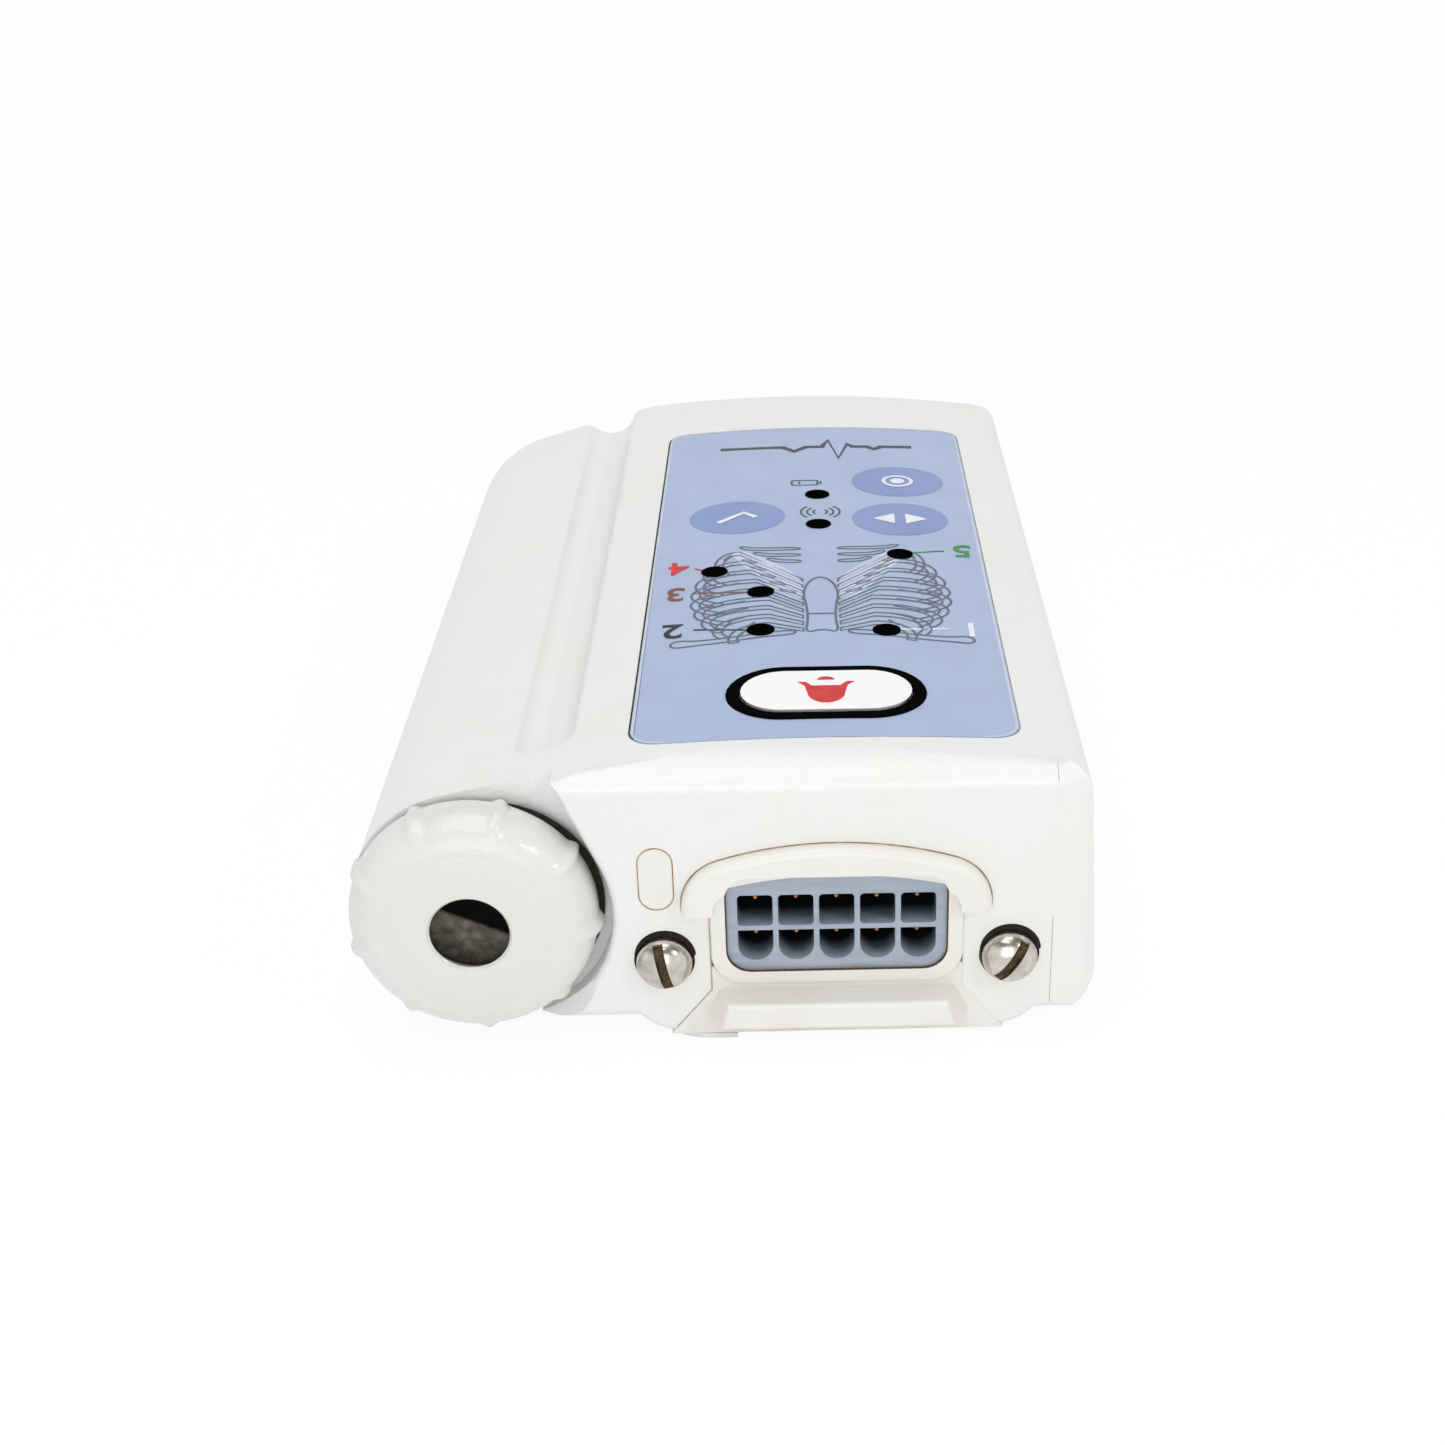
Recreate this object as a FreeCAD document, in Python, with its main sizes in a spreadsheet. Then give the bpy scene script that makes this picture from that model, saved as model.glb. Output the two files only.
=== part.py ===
import FreeCAD, Part
import math
import os
import re

import Sketcher
from FreeCAD import Placement, Rotation, Vector

# Ambulatory ECG telemetry transmitter: a hand-sized moulded case with a battery barrel
# down its left side, a screw cap at the barrel's mouth, a ten-way lead socket beside the
# cap and a printed keypad on top.
#
# Working axes, in millimetres: X to the right seen from the socket end, Y from the front
# wall towards the rear, Z up, all from the centre of the socket's cavity grid. The frame
# rows of the sheet move the finished pieces so that the origin is under the middle of the
# case, on the surface that it lies on.

DIMENSIONS = [
    ("length", 117.6, "front wall to the middle of the arched rear wall"),
    ("rest_depth", 15.3, "socket centre down to the surface the case lies on"),
    ("wall", 2.0, "case wall"),
    ("front_wall", 5.2, "front wall, thick enough to hold the socket bezel"),
    ("fit", 0.12, "gap between fixed mouldings"),
    ("run", 0.3, "gap round moving pieces"),
    ("reach", 70.0, "tools that pass right through the case"),
    ("over", 6.0, "tools that only stand clear of it"),
    ("step", 1.0, "tools that just pass a face"),
    ("sliver", 0.02, "flat left between two full rounds"),
    ("close_fit", 0.02, "gap round a pressed-in piece"),
    ("crown_r", 320.0, "radius of the gently crowned top"),
    ("crown_x", -0.7, "middle of the crown"),
    ("crown_top", 17.2, "highest line of the crown"),
    ("shoulder_x", -22.5, "middle of the soft shoulder beside the crown"),
    ("shoulder_r", 12.0, "radius of the soft shoulder"),
    ("corner_top_r", 3.0, "top right edge radius"),
    ("corner_low_r", 4.5, "bottom right edge radius"),
    ("side_low_x", 27.1, "right side at its foot"),
    ("side_high_x", 25.9, "right side under the top edge"),
    ("seam_x", 22.3, "split between the case and its side cover"),
    ("rear_arch_r", 160.0, "plan radius of the rear wall"),
    ("rear_arch_x", -5.0, "middle of the rear arch"),
    ("plan_front_r", 4.6, "plan radius of the front right corner"),
    ("plan_side_x", 28.1, "right side of the plan before its corners are rounded"),
    ("plan_rear_r", 6.0, "plan radius of the rear right corner"),
    ("rear_edge_r", 2.6, "rounding round the rear wall"),
    ("rear_depth", 8.0, "depth of the arched rear wall with its edges"),
    ("bevel_low", 14.0, "height where the front wall turns into its bevel"),
    ("bevel_r", 2.0, "rounding between the front wall and its bevel"),
    ("bevel_y", 3.9, "depth of the bevel on top"),
    ("bevel_top", 17.25, "height where the bevel runs out over the crown"),
    ("foot_edge_r", 1.6, "rounding of the front wall's lower edge"),
    ("cap_x", -37.2, "battery axis across"),
    ("cap_z", 0.1, "battery axis up"),
    ("barrel_r", 12.9, "battery barrel outside"),
    ("groove_x", -30.4, "finger groove beside the barrel, across"),
    ("groove_z", 15.55, "finger groove axis, up"),
    ("groove_r", 3.3, "finger groove radius"),
    ("groove_start", 9.0, "front end of the finger groove"),
    ("groove_edge_r", 1.3, "softened edge of the finger groove"),
    ("pocket_r", 14.2, "hollow that the cap turns in"),
    ("pocket_depth", 3.3, "front wall to the cap's seat"),
    ("pocket_tilt", 24.0, "angle where the hollow's side leaves its circle"),
    ("pocket_edge_r", 0.9, "softened rim of the hollow"),
    ("scoop_x", 1.3, "middle of the sloped crescent, right of the battery axis"),
    ("scoop_z", -4.8, "middle of the sloped crescent, above the battery axis"),
    ("scoop_r", 11.5, "sloped crescent at the front wall"),
    ("scoop_depth", 2.2, "depth of the sloped crescent"),
    ("scoop_slope", 1.0, "narrowing of the crescent over its depth"),
    ("bore_r", 7.6, "battery tube inside"),
    ("bore_end", 107.6, "rear end of the battery tube"),
    ("mouth_r", 9.9, "threaded mouth of the tube, over the thread"),
    ("mouth_end", 12.2, "rear end of the mouth"),
    ("cell_r", 7.25, "AA cell radius"),
    ("cell_length", 49.2, "AA cell without its nub"),
    ("cell_nub", 1.3, "AA cell nub height"),
    ("nub_r", 2.7, "AA cell nub radius"),
    ("cell_edge", 0.8, "chamfer of a cell's ends"),
    ("cell_gap", 0.05, "gap between the cells and what they touch"),
    ("spring_r", 7.2, "rear contact radius"),
    ("spring_t", 0.7, "rear contact's rim thickness"),
    ("spring_root_r", 6.0, "foot of the rear contact's cone"),
    ("spring_tip_r", 2.4, "tip of the rear contact's cone"),
    ("cell_front", 3.6, "front cell's case end"),
    ("cell_back", 103.4, "rear cell's flat end"),
    ("cap_face", 3.0, "cap face in front of the front wall"),
    ("cap_r", 12.7, "cap rim radius"),
    ("cap_flat_r", 8.8, "flat middle of the cap face"),
    ("cap_rim", 5.5, "cap rim depth, face to seat"),
    ("cap_hole_r", 4.05, "hole in the cap face"),
    ("cap_hole_edge", 0.4, "chamfer of that hole"),
    ("cap_plate", 2.0, "thickness of the cap face"),
    ("spigot_r", 9.3, "threaded spigot, over the thread"),
    ("spigot_bore_r", 7.9, "inside of the spigot"),
    ("spigot_end", 11.6, "spigot's free end behind the front wall"),
    ("lug_count", 9, "grip lugs round the cap"),
    ("lug_r", 1.35, "lug radius"),
    ("lug_ring_r", 11.9, "circle of the lug centres"),
    ("lug_turn", -6.0, "first lug's angle"),
    ("lug_nose", 1.55, "front end of a lug, from the front wall"),
    ("lug_slope", 1.0, "length of a lug's coned nose"),
    ("lug_tip_r", 0.5, "end of that nose"),
    ("seal_in_r", 10.3, "cap seal inside"),
    ("seal_out_r", 12.1, "cap seal outside"),
    ("seal_t", 0.7, "cap seal thickness"),
    ("seal_gap", 0.03, "gap between the seal and the cap"),
    ("disc_r", 7.5, "contact disc in the cap"),
    ("disc_t", 0.6, "contact disc thickness"),
    ("disc_gap", 0.2, "gap between the contact disc and the cap"),
    ("stud_r", 2.6, "stud on the contact disc"),
    ("stud_gap", 0.1, "gap between that stud and the front cell"),
    ("socket_pitch", 4.2, "socket cavity spacing"),
    ("cavity", 3.65, "socket cavity width"),
    ("cavity_depth", 9.0, "socket cavity depth"),
    ("cavity_r", 0.45, "corner radius of a square cavity"),
    ("insert_half", 11.4, "socket insert half width"),
    ("insert_low", -6.7, "socket insert foot"),
    ("insert_high", 5.2, "socket insert top"),
    ("insert_depth", 11.0, "socket insert depth"),
    ("insert_r", 2.5, "socket insert corner radius"),
    ("pin_tip", 2.6, "contact pin tip behind the socket face"),
    ("pin_r", 0.45, "contact pin radius"),
    ("pin_end", 13.0, "rear end of the contact pins"),
    ("pin_point", 0.5, "length of a pin's coned tip"),
    ("pin_point_r", 0.18, "end of that tip"),
    ("collar_half", 13.05, "socket collar half width"),
    ("collar_low", -8.3, "socket collar foot"),
    ("collar_out", 0.4, "collar in front of the front wall"),
    ("collar_top", 6.7, "top of the collar behind the hood"),
    ("collar_r", 3.6, "collar corner radius"),
    ("collar_edge_r", 0.25, "softened edge of the collar"),
    ("collar_root", 2.0, "overlap of the collar with the hood and the foot"),
    ("collar_hole_r", 1.0, "corner radius of the hole round the collar"),
    ("hood_half", 15.9, "hood half width"),
    ("hood_top", 8.3, "hood top"),
    ("hood_low", 0.7, "hood ends"),
    ("hood_arch_r", 40.0, "hood top radius"),
    ("hood_corner_r", 5.5, "hood corner radius"),
    ("hood_band", 3.2, "hood width"),
    ("hood_out", 1.6, "hood in front of the front wall"),
    ("hood_edge_r", 0.8, "hood edge rounding"),
    ("lip_top", -9.1, "lip's upper edge at its root"),
    ("lip_low", -12.2, "lip's lower edge"),
    ("lip_out", 3.6, "lip in front of the front wall"),
    ("lip_root_half", 12.5, "half width of the lip's upper edge at its root"),
    ("lip_root_drop", 0.1, "lip's root under its upper edge"),
    ("lip_spread", 1.7, "widening of the lip's root towards its foot"),
    ("lip_front_half", 11.3, "half width of the lip's front edge at the top"),
    ("lip_front_low_half", 12.0, "half width of the lip's front edge at its foot"),
    ("lip_lift", 0.3, "rise of the lip towards its front edge"),
    ("lip_edge_r", 0.45, "softened front edge of the lip"),
    ("keel_low", -14.6, "foot of the screw ears"),
    ("keel_half", 17.5, "half width of the bezel's foot"),
    ("ear_x", 22.2, "outer side of the screw ears"),
    ("ear_r", 6.0, "lower corner radius of the ears"),
    ("ear_edge_r", 0.9, "softened lower edge of the ears"),
    ("foot_z", -12.8, "underside of the case, level with the barrel's lowest line"),
    ("floor_top", -10.8, "inside floor of the case"),
    ("hollow_x", -22.4, "left wall of the hollow"),
    ("hollow_back", 112.0, "rear wall of the hollow"),
    ("screw_x", 17.9, "bezel screws from the socket centre"),
    ("screw_z", -5.4, "bezel screws' height"),
    ("screw_hole_r", 3.15, "screw counterbore radius"),
    ("screw_head_r", 2.9, "screw head radius"),
    ("screw_shank_r", 1.5, "M3 shank"),
    ("screw_seat", 1.2, "seat of the screw heads behind the front wall's face"),
    ("screw_play", 0.15, "gap round a screw shank"),
    ("screw_head_h", 2.6, "screw head under its dome"),
    ("screw_dome", 1.0, "dome of a screw head"),
    ("screw_shank_l", 5.4, "bezel screw shank"),
    ("screw_slot", 1.05, "bezel screw slot width"),
    ("slot_sink", 0.25, "slot floor below the dome's edge, as a share of the dome"),
    ("left_slot_turn", 102.0, "angle of the left screw's slot"),
    ("right_slot_turn", 57.0, "angle of the right screw's slot"),
    ("brass_r", 2.3, "threaded insert radius"),
    ("flange_front", 5.4, "front of the bezel's flange, behind the front wall"),
    ("flange_back", 8.4, "rear of the bezel's flange"),
    ("flange_half", 21.6, "bezel flange half width"),
    ("flange_low", -10.2, "bezel flange foot"),
    ("flange_high", 9.4, "bezel flange top"),
    ("flange_r", 2.0, "bezel flange corner radius"),
    ("flange_root", 0.5, "overlap of the hood and collar with the flange"),
    ("small_head_r", 1.9, "M2 screw head radius"),
    ("small_shank_r", 1.0, "M2 shank"),
    ("small_head_h", 0.9, "M2 head under its dome"),
    ("small_dome", 0.4, "dome of an M2 head"),
    ("small_slot", 0.5, "M2 slot width"),
    ("small_play", 0.1, "gap round an M2 shank"),
    ("thread_fit", 0.03, "gap between a screw and the hole its thread is cut in"),
    ("board_shank_l", 4.2, "board screw shank"),
    ("cover_shank_l", 4.6, "back cover screw shank"),
    ("boss_r", 2.4, "board boss radius"),
    ("boss_root", 0.4, "board boss sunk in the case top"),
    ("boss_end", 0.6, "solid end of a board boss"),
    ("plug_x", -18.4, "blanking plug across"),
    ("plug_z", 4.4, "blanking plug up"),
    ("plug_w", 3.5, "blanking plug width"),
    ("plug_h", 7.2, "blanking plug height"),
    ("plug_depth", 2.4, "blanking plug depth"),
    ("plug_room", 0.1, "room behind the blanking plug"),
    ("label_x", -0.9, "middle of the printed keypad"),
    ("label_w", 40.2, "keypad width"),
    ("label_y", 6.15, "front edge of the keypad"),
    ("label_l", 95.1, "keypad length, to the top of its arched rear edge"),
    ("label_arch_r", 182.0, "plan radius of the keypad's rear edge"),
    ("label_r", 3.0, "keypad corner radius"),
    ("label_t", 0.4, "keypad film and its recess"),
    ("film_gap", 0.05, "gap round the film"),
    ("film_low", 0.03, "glue line under the film"),
    ("film_drop", 0.02, "film below the crown"),
    ("call_x", -0.6, "call button across"),
    ("call_y", 16.4, "call button from the front wall"),
    ("call_w", 21.3, "call button ring width"),
    ("call_l", 12.3, "call button ring length"),
    ("call_ring", 1.75, "call button ring band"),
    ("call_travel", 0.7, "call button travel"),
    ("call_proud", 0.35, "call button above the film"),
    ("call_flange", 0.7, "call button flange beyond its hole"),
    ("ring_proud", 0.12, "call button ring above the crown"),
    ("key_w", 11.6, "key width"),
    ("key_l", 10.5, "key length"),
    ("key_travel", 0.35, "key travel"),
    ("key_gap", 0.15, "gap round a key"),
    ("key_room", 0.2, "room under a pressed key"),
    ("key_foot", 13.3, "foot of a key's stem"),
    ("stem_r", 2.2, "key stem radius"),
    ("call_foot", 13.8, "underside of the call button"),
    ("lamp_r", 1.55, "lamp window radius"),
    ("lamp_gap", 0.05, "gap round a lamp window"),
    ("lamp_foot", 13.7, "foot of a lamp window"),
    ("roof_low", 14.5, "underside of the case top"),
    ("board_top", 10.6, "top of the circuit board"),
    ("board_t", 1.6, "circuit board thickness"),
    ("board_front", 17.0, "front edge of the circuit board"),
    ("board_back", 110.5, "rear edge of the circuit board"),
    ("board_half", 21.0, "circuit board half width"),
    ("board_screw_x", 18.0, "board screws across"),
    ("board_screw_in", 4.0, "board screws from the board's ends"),
    ("led_w", 1.6, "lamp chip width"),
    ("led_l", 3.2, "lamp chip length"),
    ("led_h", 1.4, "lamp chip height"),
    ("switch_w", 6.0, "key switch width"),
    ("switch_h", 1.2, "key switch case height"),
    ("dome_r", 1.7, "key switch plunger radius"),
    ("switch_gap", 0.05, "gap under a pressed key's foot"),
    ("call_switch_y", 19.4, "call button's switch from the front wall"),
    ("can_half", 12.0, "screening can half width"),
    ("can_front", 58.0, "front of the screening can"),
    ("can_back", 96.0, "rear of the screening can"),
    ("can_h", 4.0, "screening can height"),
    ("can_t", 0.3, "screening can sheet"),
    ("socket_board_half", 14.0, "socket board half width"),
    ("socket_board_low", -9.0, "socket board foot"),
    ("socket_board_high", 8.0, "socket board top"),
    ("cover_half", 21.0, "back cover half width"),
    ("cover_front", 7.0, "back cover's front edge behind the front wall"),
    ("cover_back", 111.0, "back cover's rear edge"),
    ("cover_r", 2.0, "back cover edge rounding"),
    ("cover_corner_r", 4.0, "back cover corner radius"),
    ("cover_screw_x", 16.5, "back cover screws across"),
    ("cover_screw_in", 7.0, "back cover screws from its ends"),
    ("cover_seat", 1.5, "depth of its screw heads"),
    ("service_half", 12.0, "half width of the opening under the back cover"),
    ("service_in", 14.0, "from the back cover's ends to that opening"),
    ("tab_out", 19.0, "outer side of the back cover's tabs"),
    ("tab_in", 10.6, "inner side of those tabs"),
    ("left_tab_y", 0.05, "front of the left tab"),
    ("right_tab_y", 1.6, "front of the right tab"),
    ("tab_root", 3.0, "overlap of the tabs with the back cover"),
]

# Key and lamp places on the keypad: across, from the front wall.
KEYS = {
    "key_record": (10.0, 79.6),
    "key_select": (9.7, 66.1),
    "key_check": (-11.0, 67.5),
}
LAMPS = [(-0.7, 74.8), (-0.7, 64.4), (9.1, 54.4), (-13.4, 50.0), (-7.8, 43.4), (6.5, 32.1), (-7.7, 32.7)]

doc = FreeCAD.newDocument("ecg_transmitter")
sheet = doc.addObject("Spreadsheet::Sheet", "dims")
for row, (alias, amount, note) in enumerate(DIMENSIONS, start=1):
    sheet.set(f"A{row}", note)
    sheet.set(f"B{row}", str(amount))
    sheet.setAlias(f"B{row}", alias)
ALIASES = {alias for alias, amount, note in DIMENSIONS}
doc.recompute()

PIECES = []
ALONG_Y = Rotation(Vector(1, 0, 0), -90)
OUTWARD = Rotation(Vector(1, 0, 0), 90)
DOWNWARD = Rotation(Vector(1, 0, 0), 180)
# How near, in millimetres, an edge lies to a place that it is picked by.
NEAR = 0.02
SLACK = 1.0


def bound(text):
    """The expression with each alias looked up in the sheet."""
    return re.sub(r"[a-z_]\w*", lambda m: "dims." + m[0] if m[0] in ALIASES else m[0], str(text))


def size(text):
    """An expression's value as a plain number."""
    return float(sheet.evalExpression(bound(text)))


def place(item, x, y, z):
    """Bind an object's position to three expressions."""
    for axis, text in zip("xyz", (x, y, z)):
        item.setExpression(f"Placement.Base.{axis}", bound(text))


def block(name, x, y, z):
    """A box from three (low, high) pairs of expressions."""
    box = doc.addObject("Part::Box", name)
    for side, (low, high) in zip(("Length", "Width", "Height"), (x, y, z)):
        box.setExpression(side, bound(f"({high}) - ({low})"))
    place(box, x[0], y[0], z[0])
    return box


def rod(name, x, z, radius, y):
    """A cylinder along Y from one (low, high) pair of expressions."""
    bar = doc.addObject("Part::Cylinder", name)
    bar.setExpression("Radius", bound(radius))
    bar.setExpression("Height", bound(f"({y[1]}) - ({y[0]})"))
    bar.Placement = Placement(Vector(), ALONG_Y)
    place(bar, x, y[0], z)
    return bar


def post(name, x, y, radius, z):
    """A cylinder along Z from one (low, high) pair of expressions."""
    bar = doc.addObject("Part::Cylinder", name)
    bar.setExpression("Radius", bound(radius))
    bar.setExpression("Height", bound(f"({z[1]}) - ({z[0]})"))
    place(bar, x, y, z[0])
    return bar


def join(name, *items):
    both = doc.addObject("Part::MultiFuse", name)
    both.Shapes = list(items)
    both.Refine = True
    return both


def shared(name, first, second):
    part = doc.addObject("Part::Common", name)
    part.Base = first
    part.Tool = second
    return part


def cut(name, base, *tools):
    part = doc.addObject("Part::Cut", name)
    part.Base = base
    part.Tool = tools[0] if len(tools) == 1 else join(name + "_tools", *tools)
    return part


def rounded(name, base, radius, pick):
    """Fillet the edges of base whose middle point and direction pick accepts."""
    doc.recompute()
    part = doc.addObject("Part::Fillet", name)
    part.Base = base
    amount = size(radius)
    chosen = []
    for index, edge in enumerate(base.Shape.Edges, start=1):
        middle = edge.valueAt((edge.FirstParameter + edge.LastParameter) / 2)
        run = edge.lastVertex().Point - edge.firstVertex().Point
        if pick(middle, run):
            chosen.append((index, amount, amount))
    part.Edges = chosen
    return part


def along(axis, run):
    """True where an edge runs along one axis."""
    others = [run.x, run.y, run.z]
    length = others.pop("xyz".index(axis))
    return abs(length) > 1e-3 and max(abs(v) for v in others) < 1e-4


def group(name, items):
    """Separate solids kept in one node."""
    bundle = doc.addObject("Part::Compound", name)
    bundle.Links = list(items)
    return bundle


def piece(item, label, x="0", y="0", z="0"):
    """Name a finished piece and move it from the working axes to the part's own frame."""
    item.Label = label
    place(item, f"{FRAME_X} + ({x})", f"{FRAME_Y} + ({y})", f"rest_depth + ({z})")
    PIECES.append(item)


FRAME_X = "-(side_low_x + cap_x - barrel_r)/2"
FRAME_Y = "-(length - lip_out)/2"


def sketch_in(body, role, offset="0"):
    """A sketch on one of the body's origin planes, moved along the plane's normal."""
    sketch = body.newObject("Sketcher::SketchObject", body.Name + "_sketch")
    plane = next(item for item in body.Origin.OriginFeatures if item.Role == role)
    sketch.AttachmentSupport = [(plane, "")]
    sketch.MapMode = "FlatFace"
    sketch.setExpression("AttachmentOffset.Base.z", bound(offset))
    return sketch


def hold(sketch, kind, text, *geometry):
    """Add a dimension to a sketch and bind it to an expression."""
    index = sketch.addConstraint(Sketcher.Constraint(kind, *geometry, size(text)))
    sketch.setExpression(f"Constraints[{index}]", bound(text))


def at(sketch, geometry, point, x, y):
    hold(sketch, "DistanceX", x, -1, 1, geometry, point)
    hold(sketch, "DistanceY", y, -1, 1, geometry, point)


def polygon(sketch, corners):
    """A closed outline through (x, y) pairs of expressions."""
    points = [Vector(size(x), size(y), 0) for x, y in corners]
    count = len(points)
    for index in range(count):
        sketch.addGeometry(Part.LineSegment(points[index], points[(index + 1) % count]))
    for index in range(count):
        sketch.addConstraint(Sketcher.Constraint("Coincident", index, 2, (index + 1) % count, 1))
    for index, (x, y) in enumerate(corners):
        at(sketch, index, 1, x, y)


def arc(centre, radius, start, end):
    return Part.ArcOfCircle(Part.Circle(centre, Vector(0, 0, 1), radius), start, end)


def feature(body, kind, sketch, length=None, back=False):
    item = body.newObject("PartDesign::" + kind, f"{body.Name}_{kind}")
    item.Profile = sketch
    item.Reversed = back
    if length is None:
        item.Type = "ThroughAll"
    else:
        item.setExpression("Length", bound(length))
    return item


def turned(name, corners):
    """A body revolved about its own Z axis from (radius, height) pairs of expressions."""
    body = doc.addObject("PartDesign::Body", name)
    sketch = sketch_in(body, "XZ_Plane")
    polygon(sketch, corners)
    spin = body.newObject("PartDesign::Revolution", name + "_spin")
    spin.Profile = sketch
    spin.ReferenceAxis = (sketch, ["V_Axis"])
    spin.Angle = 360
    return body


def section_sketch(body):
    """Front view of the case: crowned top, soft shoulder, slope to the round barrel, flat foot."""
    sketch = sketch_in(body, "XZ_Plane")
    axis = Vector(size("cap_x"), size("cap_z"), 0)
    radius = size("barrel_r")
    crown = Vector(size("crown_x"), size("crown_top - crown_r"), 0)
    crown_r = size("crown_r")
    bend_r = size("shoulder_r")
    bend_drop = crown_r - bend_r
    bend_x = size("shoulder_x")
    bend = Vector(bend_x, crown.y + math.sqrt(bend_drop**2 - (bend_x - crown.x) ** 2), 0)
    reach = bend - axis
    touch = math.atan2(reach.y, reach.x) + math.acos((radius - bend_r) / reach.Length)
    normal = Vector(math.cos(touch), math.sin(touch), 0)
    crown_end = math.atan2(bend.y - crown.y, bend.x - crown.x)
    foot = axis.y - radius
    top_r = size("corner_top_r")
    low_r = size("corner_low_r")
    top_centre = Vector(size("side_high_x") - top_r, bend.y + bend_r - top_r, 0)
    low_centre = Vector(size("side_low_x") - low_r, foot + low_r, 0)
    crown_start = math.acos((top_centre.x - crown.x) / crown_r)

    bottom = sketch.addGeometry(Part.LineSegment(Vector(low_centre.x, foot, 0), Vector(axis.x, foot, 0)))
    barrel = sketch.addGeometry(arc(axis, radius, touch, 1.5 * math.pi))
    slope = sketch.addGeometry(Part.LineSegment(axis + normal * radius, bend + normal * bend_r))
    shoulder = sketch.addGeometry(arc(bend, bend_r, crown_end, touch))
    top = sketch.addGeometry(arc(crown, crown_r, crown_start, crown_end))
    top_corner = sketch.addGeometry(arc(top_centre, top_r, 0, math.pi / 2))
    side_top = top_centre + Vector(top_r, 0, 0)
    side = sketch.addGeometry(Part.LineSegment(side_top, low_centre + Vector(low_r, 0, 0)))
    low_corner = sketch.addGeometry(arc(low_centre, low_r, -math.pi / 2, 0))

    start, end, centre = 1, 2, 3
    tangents = [
        (bottom, end, barrel, end),
        (barrel, start, slope, start),
        (slope, end, shoulder, end),
        (shoulder, start, top, end),
        (top, start, top_corner, end),
        (top_corner, start, side, start),
        (side, end, low_corner, end),
        (low_corner, start, bottom, start),
    ]
    for ends in tangents:
        sketch.addConstraint(Sketcher.Constraint("Tangent", *ends))
    sketch.addConstraint(Sketcher.Constraint("Horizontal", bottom))
    at(sketch, barrel, centre, "cap_x", "cap_z")
    at(sketch, top, centre, "crown_x", "crown_top - crown_r")
    hold(sketch, "Radius", "barrel_r", barrel)
    hold(sketch, "Radius", "shoulder_r", shoulder)
    hold(sketch, "Radius", "crown_r", top)
    hold(sketch, "Radius", "corner_top_r", top_corner)
    hold(sketch, "Radius", "corner_low_r", low_corner)
    hold(sketch, "DistanceX", "shoulder_x", -1, 1, shoulder, centre)
    hold(sketch, "DistanceX", "side_high_x", -1, 1, top_corner, start)
    hold(sketch, "DistanceX", "side_low_x", -1, 1, low_corner, end)
    return sketch


def front_bevel():
    """What the front wall's rounded upper edge and the bevel above it take away."""
    body = doc.addObject("PartDesign::Body", "front_bevel")
    sketch = sketch_in(body, "YZ_Plane", "-reach")
    radius = size("bevel_r")
    turn = Vector(radius, size("bevel_low"), 0)
    crest = Vector(size("bevel_y"), size("bevel_top"), 0)
    reach = crest - turn
    touch = math.atan2(reach.y, reach.x) + math.acos(radius / reach.Length)
    leave = turn + Vector(math.cos(touch), math.sin(touch), 0) * radius
    front = size("-lip_out")
    high = size("crown_top + over")
    curve = sketch.addGeometry(arc(turn, radius, touch, math.pi))
    ramp = sketch.addGeometry(Part.LineSegment(leave, crest))
    up = sketch.addGeometry(Part.LineSegment(crest, Vector(crest.x, high, 0)))
    over = sketch.addGeometry(Part.LineSegment(Vector(crest.x, high, 0), Vector(front, high, 0)))
    down = sketch.addGeometry(Part.LineSegment(Vector(front, high, 0), Vector(front, turn.y, 0)))
    under = sketch.addGeometry(Part.LineSegment(Vector(front, turn.y, 0), Vector(0, turn.y, 0)))
    sketch.addConstraint(Sketcher.Constraint("Tangent", curve, 1, ramp, 1))
    for first, second in ((ramp, up), (up, over), (over, down), (down, under)):
        sketch.addConstraint(Sketcher.Constraint("Coincident", first, 2, second, 1))
    sketch.addConstraint(Sketcher.Constraint("Coincident", under, 2, curve, 2))
    for flat in (over, under):
        sketch.addConstraint(Sketcher.Constraint("Horizontal", flat))
    for upright in (up, down):
        sketch.addConstraint(Sketcher.Constraint("Vertical", upright))
    at(sketch, curve, 3, "bevel_r", "bevel_low")
    hold(sketch, "Radius", "bevel_r", curve)
    hold(sketch, "DistanceY", "bevel_low", -1, 1, curve, 2)
    at(sketch, ramp, 2, "bevel_y", "bevel_top")
    hold(sketch, "DistanceX", "-lip_out", -1, 1, down, 1)
    hold(sketch, "DistanceY", "crown_top + over", -1, 1, over, 1)
    feature(body, "Pad", sketch, "2*reach")
    return body


def foot_round():
    """What the rounding of the front wall's lower edge takes away."""
    bar = block("foot_bar", ("-reach", "reach"), ("-step", "foot_edge_r"),
                ("foot_z - step", "foot_z + foot_edge_r"))
    core = doc.addObject("Part::Cylinder", "foot_core")
    core.setExpression("Radius", bound("foot_edge_r"))
    core.setExpression("Height", bound("2*reach"))
    core.Placement = Placement(Vector(), Rotation(Vector(0, 1, 0), 90))
    place(core, "-reach", "foot_edge_r", "foot_z + foot_edge_r")
    return cut("foot_round", bar, core)


def on_pocket_rim(middle, run):
    """True on the front edge of the cap hollow's side wall."""
    tilt = math.radians(size("pocket_tilt"))
    radius = size("pocket_r")
    x = middle.x - size("cap_x")
    z = middle.z - size("cap_z")
    on_arc = abs(math.hypot(x, z) - radius) < NEAR
    on_side = abs(x * math.cos(tilt) + z * math.sin(tilt) - radius) < NEAR
    return middle.y < NEAR and (on_arc or on_side)


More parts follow.
